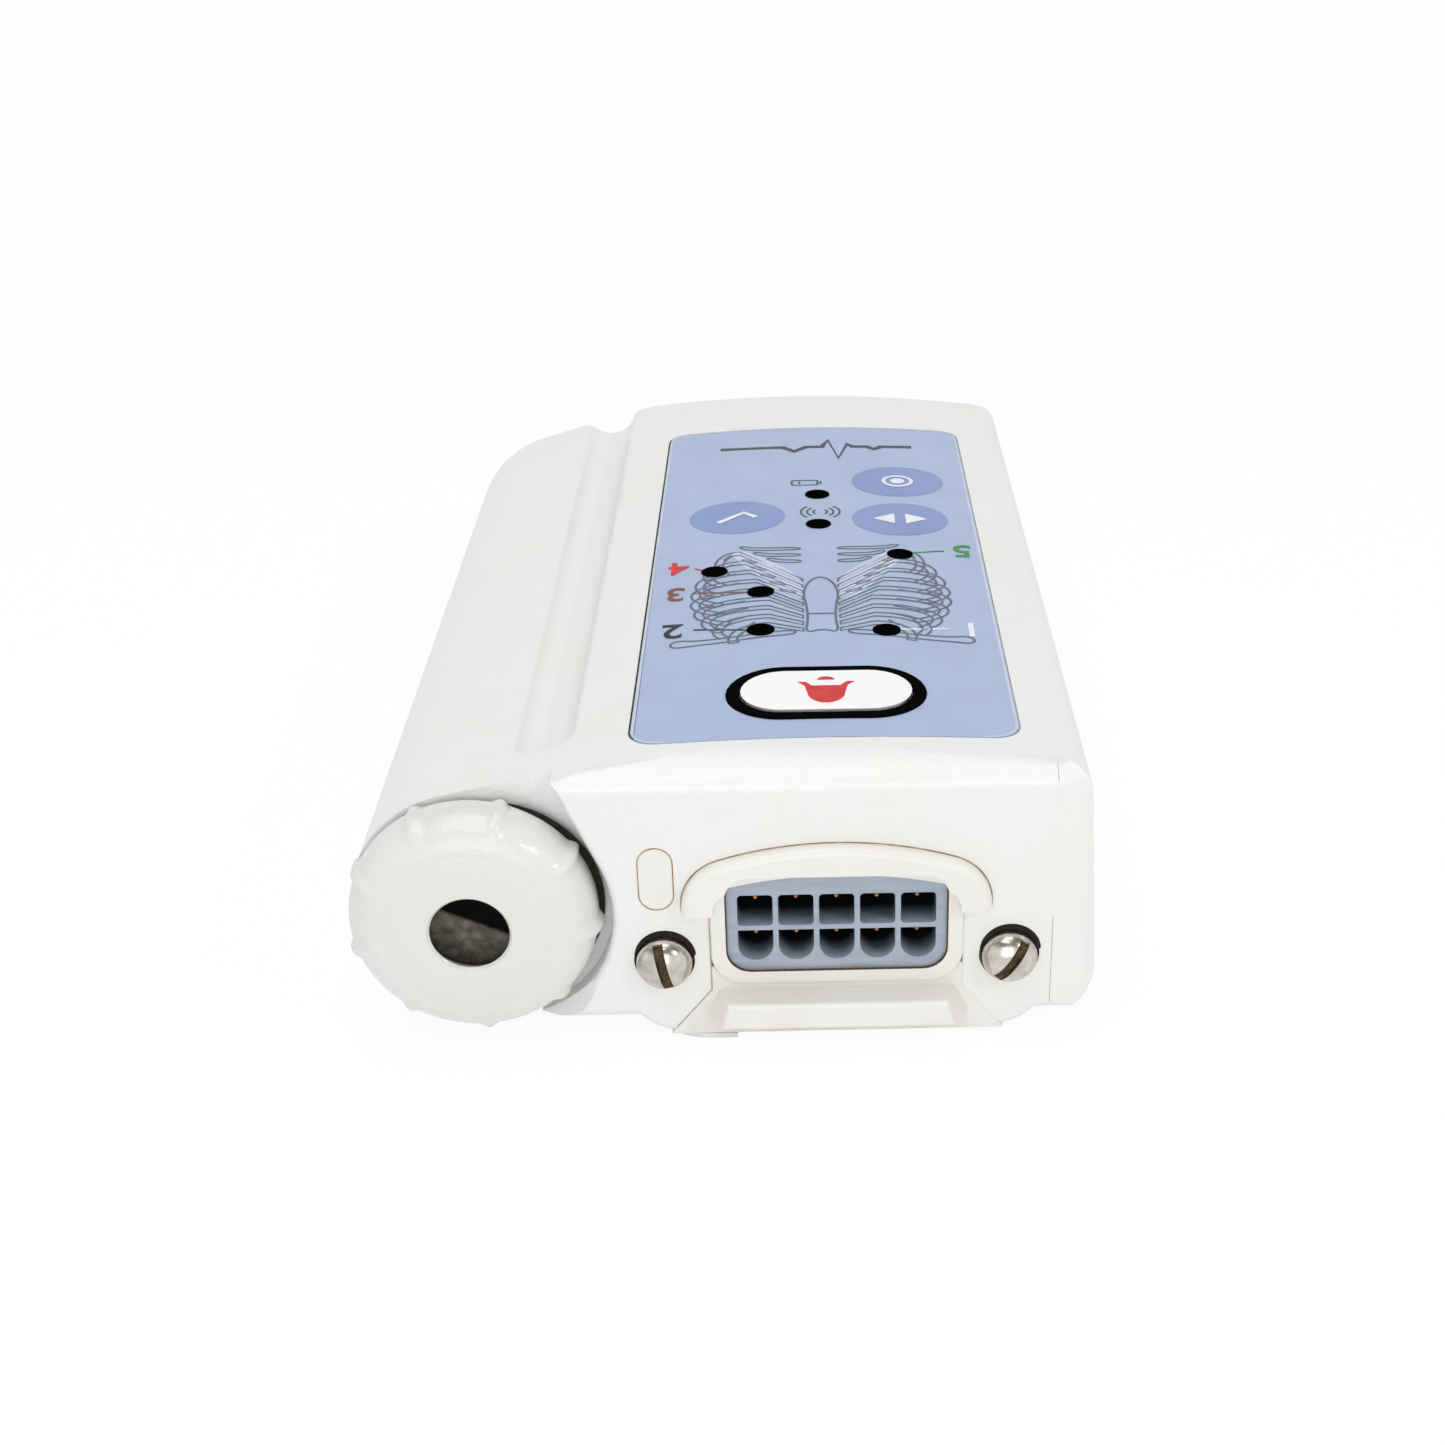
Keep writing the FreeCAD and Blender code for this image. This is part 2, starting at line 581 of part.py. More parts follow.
def case_form():
    """The whole outside of the case, before it is split and hollowed."""
    body = doc.addObject("PartDesign::Body", "case_section")
    feature(body, "Pad", section_sketch(body), "length + over", back=True)

    blank = block("plan_blank", ("-reach", "plan_side_x"), ("0", "length + over"), ("-reach", "reach"))
    arch = post("plan_arch", "rear_arch_x", "length - rear_arch_r", "rear_arch_r", ("-reach", "reach"))
    plan = shared("plan_rear", blank, arch)
    right = size("side_low_x")
    half = size("length/2")
    plan = rounded(
        "plan_front_corner", plan, "plan_front_r",
        lambda middle, run: along("z", run) and middle.x > right and middle.y < half,
    )
    plan = rounded(
        "plan_rear_corner", plan, "plan_rear_r",
        lambda middle, run: along("z", run) and middle.x > right and middle.y > half,
    )
    form = shared("case_plan", body, plan)
    rear = size("length - rear_depth")
    form = rounded("case_rear_edge", form, "rear_edge_r", lambda middle, run: middle.y > rear)
    form = cut("case_pocketed", form, cap_pocket())
    form = rounded("case_soft_pocket", form, "pocket_edge_r", on_pocket_rim)
    form = cut("case_bevelled", form, front_bevel(), foot_round())

    channel = rod("groove_run", "groove_x", "groove_z", "groove_r",
                  ("groove_start + groove_r", "length + over"))
    end = doc.addObject("Part::Sphere", "groove_end")
    end.setExpression("Radius", bound("groove_r"))
    place(end, "groove_x", "groove_start + groove_r", "groove_z")
    form = cut("case_grooved", form, channel, end)
    half_width = size("groove_r") + SLACK
    middle_x = size("groove_x")
    floor = size("groove_z - groove_r") + SLACK
    front = size("groove_start") - SLACK
    back = size("length - 2*rear_depth")

    def on_groove_edge(middle, run):
        return abs(middle.x - middle_x) < half_width and middle.z > floor and front < middle.y < back

    return rounded("case_soft_groove", form, "groove_edge_r", on_groove_edge)


def cap_pocket():
    """The hollow round the cap: a circle on the right and below, leaving straight up at its tilt."""
    body = doc.addObject("PartDesign::Body", "cap_pocket")
    sketch = sketch_in(body, "XZ_Plane", "reach")
    axis = Vector(size("cap_x"), size("cap_z"), 0)
    radius = size("pocket_r")
    tilt = math.radians(size("pocket_tilt"))
    touch = axis + Vector(math.cos(tilt), math.sin(tilt), 0) * radius
    top = size("crown_top + over")
    rise = Vector(touch.x - (top - touch.y) * math.tan(tilt), top, 0)
    left = size("cap_x - 2*barrel_r")
    low = axis.y - radius
    curve = sketch.addGeometry(arc(axis, radius, -math.pi / 2, tilt))
    up = sketch.addGeometry(Part.LineSegment(touch, rise))
    over = sketch.addGeometry(Part.LineSegment(rise, Vector(left, top, 0)))
    down = sketch.addGeometry(Part.LineSegment(Vector(left, top, 0), Vector(left, low, 0)))
    under = sketch.addGeometry(Part.LineSegment(Vector(left, low, 0), Vector(axis.x, low, 0)))
    sketch.addConstraint(Sketcher.Constraint("Tangent", curve, 2, up, 1))
    for first, second in ((up, over), (over, down), (down, under)):
        sketch.addConstraint(Sketcher.Constraint("Coincident", first, 2, second, 1))
    sketch.addConstraint(Sketcher.Constraint("Tangent", under, 2, curve, 1))
    for flat in (over, under):
        sketch.addConstraint(Sketcher.Constraint("Horizontal", flat))
    sketch.addConstraint(Sketcher.Constraint("Vertical", down))
    at(sketch, curve, 3, "cap_x", "cap_z")
    hold(sketch, "Radius", "pocket_r", curve)
    hold(sketch, "DistanceX", "cap_x + pocket_r*cos(pocket_tilt*1deg)", -1, 1, curve, 2)
    hold(sketch, "DistanceX", "cap_x - 2*barrel_r", -1, 1, down, 1)
    hold(sketch, "DistanceY", "crown_top + over", -1, 1, over, 1)
    feature(body, "Pad", sketch, "reach + pocket_depth", back=True)
    return body


def pocket_scoop():
    """The sloped crescent that opens the cap's hollow towards its lower right."""
    scoop = doc.addObject("Part::Cone", "pocket_scoop")
    scoop.setExpression("Radius1", bound("scoop_r + over*scoop_slope"))
    scoop.setExpression("Radius2", bound("scoop_r - scoop_depth*scoop_slope"))
    scoop.setExpression("Height", bound("over + scoop_depth"))
    scoop.Placement = Placement(Vector(), ALONG_Y)
    place(scoop, "cap_x + scoop_x", "-over", "cap_z + scoop_z")
    return scoop


def arched(name, half, low, top, arch_r, corner_r, y):
    """A tunnel-shaped bar along Y: flat foot, straight sides, gently arched top."""
    bar = block(name + "_bar", (f"-({half})", half), y, (low, top))
    roof = rod(name + "_roof", "0", f"({top}) - ({arch_r})", arch_r, y)
    foot = size(low)
    return rounded(
        name, shared(name + "_arch", bar, roof), corner_r,
        lambda middle, run: along("y", run) and middle.z > foot + SLACK,
    )


def rounded_bar(name, half, low, high, corner_r, y):
    """A bar along Y with its four long edges rounded."""
    bar = block(name + "_bar", (f"-({half})", half), y, (low, high))
    return rounded(name, bar, corner_r, lambda middle, run: along("y", run))


def foot_wedge(name, margin, y):
    """The bezel's foot under the collar, spreading outwards between the screw ears."""
    body = doc.addObject("PartDesign::Body", name)
    sketch = sketch_in(body, "XZ_Plane", f"-({y[0]})")
    polygon(sketch, [
        (f"-(collar_half + {margin})", "collar_low + collar_root"),
        (f"collar_half + {margin}", "collar_low + collar_root"),
        (f"collar_half + {margin}", "lip_top"),
        (f"keel_half + {margin}", f"keel_low - {margin}"),
        (f"-(keel_half + {margin})", f"keel_low - {margin}"),
        (f"-(collar_half + {margin})", "lip_top"),
    ])
    feature(body, "Pad", sketch, f"({y[1]}) - ({y[0]})", back=True)
    return body


def bezel_opening():
    """The hole in the front wall that the socket bezel fills."""
    y = ("-over", "front_wall + step")
    hood = arched("hood_hole", "hood_half + fit", "hood_low - fit", "hood_top + fit",
                  "hood_arch_r", "hood_corner_r", y)
    collar = rounded_bar("collar_hole", "collar_half + fit", "collar_low - fit", "hood_low + collar_root",
                         "collar_hole_r", y)
    return join("bezel_hole", hood, collar, foot_wedge("foot_hole", "fit", y))


def crown_shell(name, low, high):
    """The sheet between two depths under the crowned top."""
    axis = "crown_top - crown_r"
    outer = rod(name + "_outer", "crown_x", axis, f"crown_r + ({high})", ("-step", "length + step"))
    inner = rod(name + "_inner", "crown_x", axis, f"crown_r + ({low})", ("-over", "length + over"))
    return cut(name, outer, inner)


def label_outline(name, gap):
    """The keypad's plan as an upright block: rounded corners and an arched rear edge."""
    z = ("roof_low - over", "crown_top + over")
    x = (f"label_x - label_w/2 - ({gap})", f"label_x + label_w/2 + ({gap})")
    bar = block(name + "_bar", x, (f"label_y - ({gap})", f"label_y + label_l + ({gap}) + step"), z)
    rear = post(name + "_rear", "label_x", f"label_y + label_l + ({gap}) - label_arch_r", "label_arch_r", z)
    return rounded(name, shared(name + "_plan", bar, rear), "label_r", lambda middle, run: along("z", run))


def pill(name, x, y, width, length, z):
    """An upright block with round left and right ends."""
    bar = block(name + "_bar", (f"({x}) - ({width})/2", f"({x}) + ({width})/2"),
                (f"({y}) - ({length})/2", f"({y}) + ({length})/2"), z)
    return rounded(name, bar, f"({length})/2 - sliver", lambda middle, run: along("z", run))


def oval(name, x, y, gap, z):
    """An upright elliptic column the size of a key."""
    ring = doc.addObject("Part::Ellipse", name + "_ring")
    ring.setExpression("MajorRadius", bound(f"key_w/2 + ({gap})"))
    ring.setExpression("MinorRadius", bound(f"key_l/2 + ({gap})"))
    place(ring, x, y, z[0])
    column = doc.addObject("Part::Extrusion", name)
    column.Base = ring
    column.DirMode = "Custom"
    column.Dir = Vector(0, 0, 1)
    column.Solid = True
    column.setExpression("LengthFwd", bound(f"({z[1]}) - ({z[0]})"))
    return column


def ears():
    """Lower corners of the front wall round the bezel screws, reaching below the case."""
    y = ("0", "front_wall")
    z = ("keel_low", "screw_z")
    outer = size("ear_x")
    inner = size("collar_half")
    low = size("keel_low")
    bend = size("ear_r")
    sides = []
    for name, x in (("left_ear", ("-ear_x", "-collar_half")), ("right_ear", ("collar_half", "ear_x"))):
        bar = block(name + "_bar", x, y, z)
        corner = rounded(
            name + "_corner", bar, "ear_r",
            lambda middle, run: along("y", run) and abs(middle.x) > outer - NEAR and middle.z < low + NEAR,
        )
        sides.append(rounded(
            name, corner, "ear_edge_r",
            lambda middle, run: middle.y < NEAR and middle.z < low + bend and abs(middle.x) > inner + SLACK,
        ))
    return sides


def screw_places():
    return [("left", "-screw_x"), ("right", "screw_x")]


def cover_screw_places():
    return [(x, y) for y in ("cover_front + cover_screw_in", "cover_back - cover_screw_in")
            for x in ("-cover_screw_x", "cover_screw_x")]


def board_screw_places():
    return [(x, y) for y in ("board_front + board_screw_in", "board_back - board_screw_in")
            for x in ("-board_screw_x", "board_screw_x")]


def keypad_holes():
    """Everything that the keypad's moving and shining pieces need cut out of the case top."""
    holes = []
    recess = label_outline("label_recess_plan", "fit")
    holes.append(shared("label_recess", recess, crown_shell("label_recess_depth", "-label_t", "over")))
    through = ("roof_low - step", "crown_top + over")
    holes.append(pill("call_hole", "call_x", "call_y", "call_w - 2*call_ring + 2*run",
                      "call_l - 2*call_ring + 2*run", through))
    for name, (x, y) in KEYS.items():
        column = oval(name + "_well_plan", x, y, "key_gap", through)
        depth = crown_shell(name + "_well_depth", "-(label_t + key_travel + key_room)", "over")
        holes.append(shared(name + "_well", column, depth))
        holes.append(post(name + "_stem_hole", x, y, "stem_r + run", through))
    for index, (x, y) in enumerate(LAMPS, start=1):
        holes.append(post(f"lamp_hole_{index}", x, y, "lamp_r + lamp_gap", through))
    return holes


def plug_shape(name, gap, y):
    x = (f"plug_x - plug_w/2 - ({gap})", f"plug_x + plug_w/2 + ({gap})")
    z = (f"plug_z - plug_h/2 - ({gap})", f"plug_z + plug_h/2 + ({gap})")
    bar = block(name + "_bar", x, y, z)
    return rounded(name, bar, f"plug_w/2 + ({gap}) - sliver", lambda middle, run: along("y", run))


def main_housing(form):
    """The case: battery barrel, hollow middle open to the right, front wall with its openings."""
    whole = join("case_with_ears", form, *ears())
    side = block("left_of_seam", ("-reach", "seam_x - fit/2"), ("-over", "length + over"),
                 ("-reach", "reach"))
    left = shared("case_left", whole, side)
    tools = [
        pocket_scoop(),
        rod("bore", "cap_x", "cap_z", "bore_r", ("0", "bore_end")),
        rod("mouth", "cap_x", "cap_z", "mouth_r", ("0", "mouth_end")),
        block("hollow", ("hollow_x", "seam_x + step"), ("front_wall", "hollow_back"),
              ("floor_top", "roof_low")),
        block("service_hole", ("-service_half", "service_half"),
              ("cover_front + service_in", "cover_back - service_in"), ("foot_z - step", "floor_top + step")),
        bezel_opening(),
        plug_shape("plug_hole", "fit/2", ("-step", "plug_depth + plug_room")),
    ]
    for side, x in screw_places():
        tools.append(rod(side + "_screw_head_hole", x, "screw_z", "screw_hole_r", ("-step", "screw_seat")))
        tools.append(rod(side + "_screw_hole", x, "screw_z", "screw_shank_r + screw_play",
                         ("0", "front_wall + step")))
    for index, (x, y) in enumerate(cover_screw_places(), start=1):
        tools.append(post(f"cover_screw_hole_{index}", x, y, "small_shank_r + thread_fit",
                          ("foot_z - step", "floor_top + step")))
    tools += keypad_holes()
    shell = cut("housing_shell", left, *tools)
    bosses = []
    for index, (x, y) in enumerate(board_screw_places(), start=1):
        boss = post(f"board_boss_{index}_post", x, y, "boss_r", ("board_top", "roof_low + boss_root"))
        pilot = post(f"board_boss_{index}_hole", x, y, "small_shank_r + thread_fit",
                     ("board_top - step", "roof_low - boss_end"))
        bosses.append(cut(f"board_boss_{index}", boss, pilot))
    piece(join("housing_with_bosses", shell, *bosses), "main_housing")


def side_cover(form):
    """The right end of the case: a shallow shell closed round its rounded corners."""
    side = block("right_of_seam", ("seam_x + fit/2", "reach"), ("-over", "length + over"),
                 ("-reach", "reach"))
    right = shared("case_right", form, side)
    inside = block("cover_hollow", ("seam_x - step", "side_high_x - wall"),
                   ("front_wall + wall", "hollow_back - wall"), ("floor_top + wall", "roof_low - wall"))
    piece(cut("side_shell", right, inside), "side_cover")


def rear_cover():
    """The plate on the case's underside that it lies on, with two tabs under the screw ears."""
    slab = block("cover_slab", ("-cover_half", "cover_half"), ("cover_front", "cover_back"),
                 ("-rest_depth", "foot_z"))
    upright = rounded("cover_plan", slab, "cover_corner_r", lambda middle, run: along("z", run))
    low = size("-rest_depth") + NEAR
    plate = rounded("cover_plate", upright, "cover_r", lambda middle, run: middle.z < low)
    z = ("-rest_depth", "keel_low - fit")
    tabs = [
        block("left_tab", ("-tab_out", "-tab_in"), ("left_tab_y", "cover_front + tab_root"), z),
        block("right_tab", ("tab_in", "tab_out"), ("right_tab_y", "cover_front + tab_root"), z),
    ]
    holes = []
    for index, (x, y) in enumerate(cover_screw_places(), start=1):
        holes.append(post(f"cover_head_hole_{index}", x, y, "small_head_r + fit",
                          ("-rest_depth - step", "-rest_depth + cover_seat")))
        holes.append(post(f"cover_shank_hole_{index}", x, y, "small_shank_r + small_play",
                          ("-rest_depth", "foot_z + step")))
    piece(cut("cover_drilled", join("cover_with_tabs", plate, *tabs), *holes), "rear_cover")


def slotted_screw(name, head_r, shank_r, head_h, dome_h, shank_l, slot_w):
    """A pan-head screw along its own Z axis, its head's seat at zero and its slot cut across X."""
    body = turned(name + "_blank", [
        ("0", f"{head_h} + {dome_h}"),
        (head_r, f"{head_h} + {dome_h}"),
        (head_r, "0"),
        (shank_r, "0"),
        (shank_r, f"-({shank_l})"),
        ("0", f"-({shank_l})"),
    ])
    ball_r = f"({head_r}^2 + {dome_h}^2)/(2*{dome_h})"
    ball = doc.addObject("Part::Sphere", name + "_dome")
    ball.setExpression("Radius", bound(f"{ball_r} + {shank_l}"))
    place(ball, "0", "0", f"{head_h} + {dome_h} - {ball_r} - {shank_l}")
    slot = block(name + "_slot", (f"-2*({head_r})", f"2*({head_r})"), (f"-({slot_w})/2", f"({slot_w})/2"),
                 (f"{head_h} - slot_sink*({dome_h})", f"{head_h} + 2*({dome_h})"))
    return cut(name, shared(name + "_head", body, ball), slot)


def bezel_screws():
    """Two slotted screws that hold the socket bezel, stopped at different angles."""
    screws = []
    for side, x in screw_places():
        screw = slotted_screw(side + "_screw", "screw_head_r", "screw_shank_r", "screw_head_h", "screw_dome",
                              "screw_shank_l", "screw_slot")
        turn = Rotation(Vector(0, 0, 1), size(side + "_slot_turn"))
        screw.Placement = Placement(Vector(), OUTWARD * turn)
        place(screw, x, "screw_seat", "screw_z")
        screws.append(screw)
    piece(group("bezel_screw_pair", screws), "bezel_screws")


def screw_inserts():
    """Brass threaded inserts in the bezel's flange."""
    rings = []
    for side, x in screw_places():
        body = rod(side + "_insert_body", x, "screw_z", "brass_r", ("flange_front", "flange_back"))
        bore = rod(side + "_insert_bore", x, "screw_z", "screw_shank_r + close_fit",
                   ("flange_front - step", "flange_back + step"))
        rings.append(cut(side + "_brass", body, bore))
    piece(group("brass_pair", rings), "screw_inserts")


def connector_bezel():
    """Socket surround: arched hood above, collar round the insert, lip below, flange behind."""
    back = "flange_front + flange_root"
    hood_block = arched("hood_block", "hood_half", "hood_low", "hood_top", "hood_arch_r", "hood_corner_r",
                        ("-hood_out", back))
    front = size("-hood_out") + NEAR
    low = size("hood_low") + NEAR
    soft = rounded("hood_soft", hood_block, "hood_edge_r",
                   lambda middle, run: middle.y < front and middle.z > low)
    under = arched("hood_under", "hood_half - hood_band", "hood_low - step", "hood_top - hood_band",
                   "hood_arch_r - hood_band", "hood_corner_r - hood_band", ("-over", "0"))
    hood = cut("hood", soft, under)
    collar_bar = rounded_bar("collar_bar_round", "collar_half", "collar_low", "collar_top", "collar_r",
                             ("-collar_out", back))
    collar_front = size("-collar_out") + NEAR
    collar = rounded("collar", collar_bar, "collar_edge_r", lambda middle, run: middle.y < collar_front)
    flange = rounded_bar("flange", "flange_half", "flange_low", "flange_high", "flange_r",
                         ("flange_front", "flange_back"))
    whole = join("bezel_whole", hood, collar, foot_wedge("foot", "0", ("0", back)), lip(), flange)
    holes = [rounded_bar("insert_hole", "insert_half + fit/2", "insert_low - fit/2", "insert_high + fit/2",
                         "insert_r + fit/2", ("-over", "flange_back + step"))]
    for side, x in screw_places():
        holes.append(rod(side + "_brass_hole", x, "screw_z", "brass_r + close_fit",
                         ("front_wall", "flange_back + step")))
    piece(cut("bezel", whole, *holes), "connector_bezel")


def lip():
    """The lip under the socket, narrower at its front edge than at its root."""
    body = doc.addObject("PartDesign::Body", "lip")
    root = sketch_in(body, "XZ_Plane", "-step")
    polygon(root, [
        ("-lip_root_half", "lip_top - lip_root_drop"),
        ("lip_root_half", "lip_top - lip_root_drop"),
        ("lip_root_half + lip_spread", "lip_low"),
        ("-(lip_root_half + lip_spread)", "lip_low"),
    ])
    edge = sketch_in(body, "XZ_Plane", "lip_out")
    polygon(edge, [
        ("-lip_front_half", "lip_top + lip_lift"),
        ("lip_front_half", "lip_top + lip_lift"),
        ("lip_front_low_half", "lip_low + lip_lift"),
        ("-lip_front_low_half", "lip_low + lip_lift"),
    ])
    loft = body.newObject("PartDesign::AdditiveLoft", "lip_loft")
    loft.Profile = root
    loft.Sections = [edge]
    loft.Ruled = True
    front = size("-lip_out") + NEAR
    return rounded("lip_soft", body, "lip_edge_r", lambda middle, run: middle.y < front)


def cavity_places():
    """Columns of the socket from the left, as expressions."""
    return [f"socket_pitch*({column})" for column in (-2, -1, 0, 1, 2)]


def connector_insert():
    """Socket insert: square cavities in the top row, round-footed ones below."""
    bar = rounded_bar("insert_bar", "insert_half", "insert_low", "insert_high", "insert_r",
                      ("0", "insert_depth"))
    y = ("-step", "cavity_depth")
    holes = []
    for index, x in enumerate(cavity_places(), start=1):
        sides = (f"{x} - cavity/2", f"{x} + cavity/2")
        square = block(f"square_{index}_bar", sides, y,
                       ("(socket_pitch - cavity)/2", "(socket_pitch + cavity)/2"))
        holes.append(rounded(f"square_{index}", square, "cavity_r", lambda middle, run: along("y", run)))
        holes.append(block(f"round_{index}_top", sides, y, ("-socket_pitch/2", "(cavity - socket_pitch)/2")))
        holes.append(rod(f"round_{index}_foot", x, "-socket_pitch/2", "cavity/2", y))
        for row, z in (("top", "socket_pitch/2"), ("low", "-socket_pitch/2")):
            holes.append(rod(f"pin_hole_{row}_{index}", x, z, "pin_r + close_fit",
                             ("0", "insert_depth + step")))
    piece(cut("insert", bar, *holes), "connector_insert")


def contact_pins():
    """Ten round pins with coned tips, standing in the cavities."""
    for index, x in enumerate(cavity_places(), start=1):
        for row, z in (("top", "socket_pitch/2"), ("low", "-socket_pitch/2")):
            pin = turned(f"pin_{row}_{index}", [
                ("0", "-pin_tip"),
                ("pin_point_r", "-pin_tip"),
                ("pin_r", "-(pin_tip + pin_point)"),
                ("pin_r", "-pin_end"),
                ("0", "-pin_end"),
            ])
            pin.Placement = Placement(Vector(), OUTWARD)
            piece(pin, f"contact_pin_{row}_{index}", x, "0", z)


def keypad():
    """Printed film, lamp windows, call button with its ring, and three keys."""
    sheet_depth = crown_shell("film_depth", "-label_t + film_low", "-film_drop")
    film = shared("film_sheet", label_outline("film_plan", "-film_gap"), sheet_depth)
    z = ("roof_low - over", "crown_top + over")
    holes = [pill("film_call_hole", "call_x", "call_y", "call_w + 2*film_gap", "call_l + 2*film_gap", z)]
    for name, (x, y) in KEYS.items():
        holes.append(oval(name + "_film_hole", x, y, "key_gap", z))
    for index, (x, y) in enumerate(LAMPS, start=1):
        holes.append(post(f"film_lamp_hole_{index}", x, y, "lamp_r + lamp_gap", z))
    piece(cut("film", film, *holes), "label_overlay")

    crown_axis = "crown_top - crown_r"
    for index, (x, y) in enumerate(LAMPS, start=1):
        column = post(f"window_column_{index}", x, y, "lamp_r", ("lamp_foot", "crown_top + step"))
        crown = rod(f"window_crown_{index}", "crown_x", crown_axis, "crown_r", ("0", "length"))
        piece(shared(f"window_{index}", column, crown), f"led_window_{index}")

    inner = ("call_w - 2*call_ring", "call_l - 2*call_ring")
    ring = cut("call_ring_plan", pill("call_ring_outer", "call_x", "call_y", "call_w", "call_l", z),
               pill("call_ring_inner", "call_x", "call_y", *inner, z))
    ring_depth = crown_shell("call_ring_depth", "-label_t + film_low", "ring_proud")
    piece(shared("call_ring_band", ring, ring_depth), "call_button_ring")

    button = pill("call_plan", "call_x", "call_y", *[f"{width} - 2*run" for width in inner],
                  ("call_foot", "crown_top + over"))
    crown = rod("call_crown", "crown_x", crown_axis, "crown_r + call_proud", ("0", "length"))
    flange = pill("call_rim", "call_x", "call_y", *[f"{width} + 2*call_flange" for width in inner],
                  ("call_foot", "roof_low - run"))
    piece(join("call_with_flange", shared("call", button, crown), flange), "call_button")

    for name, (x, y) in KEYS.items():
        pad_depth = crown_shell(name + "_depth", "-label_t + film_low", "film_drop")
        pad = shared(name + "_pad", oval(name + "_plan", x, y, "0", z), pad_depth)
        stem = post(name + "_stem", x, y, "stem_r", ("key_foot", "crown_top - label_t"))
        piece(join(name + "_whole", pad, stem), name)


def electronics():
    """Circuit board with its lamps, switches and screening can, and the socket's own board."""
    board_low = "board_top - board_t"
    board = block("board", ("-board_half", "board_half"), ("board_front", "board_back"),
                  (board_low, "board_top"))
    holes = []
    screws = []
    for index, (x, y) in enumerate(board_screw_places(), start=1):
        holes.append(post(f"board_hole_{index}", x, y, "small_shank_r + small_play",
                          (f"{board_low} - step", "board_top + step")))
        screw = slotted_screw(f"board_screw_{index}", "small_head_r", "small_shank_r", "small_head_h",
                              "small_dome", "board_shank_l", "small_slot")
        screw.Placement = Placement(Vector(), DOWNWARD)
        place(screw, x, y, board_low)
        screws.append(screw)
    piece(cut("board_drilled", board, *holes), "main_board")
    piece(group("board_screw_set", screws), "board_screws")

    for index, (x, y) in enumerate(LAMPS, start=1):
        sides = (f"{x} - led_w/2", f"{x} + led_w/2")
        ends = (f"{y} - led_l/2", f"{y} + led_l/2")
        lamp = block(f"lamp_{index}", sides, ends, ("board_top", "board_top + led_h"))
        piece(lamp, f"led_{index}", sides[0], ends[0], "board_top")

    places = {name: (x, y, "key_foot - key_travel") for name, (x, y) in KEYS.items()}
    places["call"] = ("call_x", "call_switch_y", "call_foot - call_travel")
    for name, (x, y, top) in places.items():
        base = block(name + "_switch_base", (f"({x}) - switch_w/2", f"({x}) + switch_w/2"),
                     (f"({y}) - switch_w/2", f"({y}) + switch_w/2"), ("board_top", "board_top + switch_h"))
        dome = post(name + "_switch_dome", x, y, "dome_r", ("board_top + switch_h/2", f"{top} - switch_gap"))
        piece(join(name + "_switch_whole", base, dome), name + "_switch")

    can = block("can", ("-can_half", "can_half"), ("can_front", "can_back"),
                (f"{board_low} - can_h", board_low))
    inside = block("can_inside", ("-can_half + can_t", "can_half - can_t"),
                   ("can_front + can_t", "can_back - can_t"),
                   (f"{board_low} - can_h + can_t", f"{board_low} + step"))
    piece(cut("can_shell", can, inside), "rf_shield")

    socket_board = block("socket_board", ("-socket_board_half", "socket_board_half"),
                         ("pin_end", "pin_end + board_t"), ("socket_board_low", "socket_board_high"))
    piece(socket_board, "connector_board", "-socket_board_half", "pin_end", "socket_board_low")


def battery():
    """Two AA cells in line and the contact at the tube's rear end."""
    fronts = {
        "battery_cell_front": "cell_front",
        "battery_cell_rear": "cell_front + cell_length + cell_nub + cell_gap",
    }
    for label, front in fronts.items():
        cell = turned(label + "_can", [
            ("0", "cell_nub"),
            ("nub_r", "cell_nub"),
            ("nub_r", "0"),
            ("cell_r - cell_edge", "0"),
            ("cell_r", "-cell_edge"),
            ("cell_r", "-cell_length + cell_edge"),
            ("cell_r - cell_edge", "-cell_length"),
            ("0", "-cell_length"),
        ])
        cell.Placement = Placement(Vector(), OUTWARD)
        piece(cell, label, "cap_x", front, "cap_z")
    spring = turned("rear_contact_cone", [
        ("0", "bore_end - cell_back - cell_gap"),
        ("spring_tip_r", "bore_end - cell_back - cell_gap"),
        ("spring_root_r", "spring_t"),
        ("spring_r", "spring_t"),
        ("spring_r", "cell_gap"),
        ("0", "cell_gap"),
    ])
    spring.Placement = Placement(Vector(), OUTWARD)
    piece(spring, "battery_contact_rear", "cap_x", "bore_end", "cap_z")


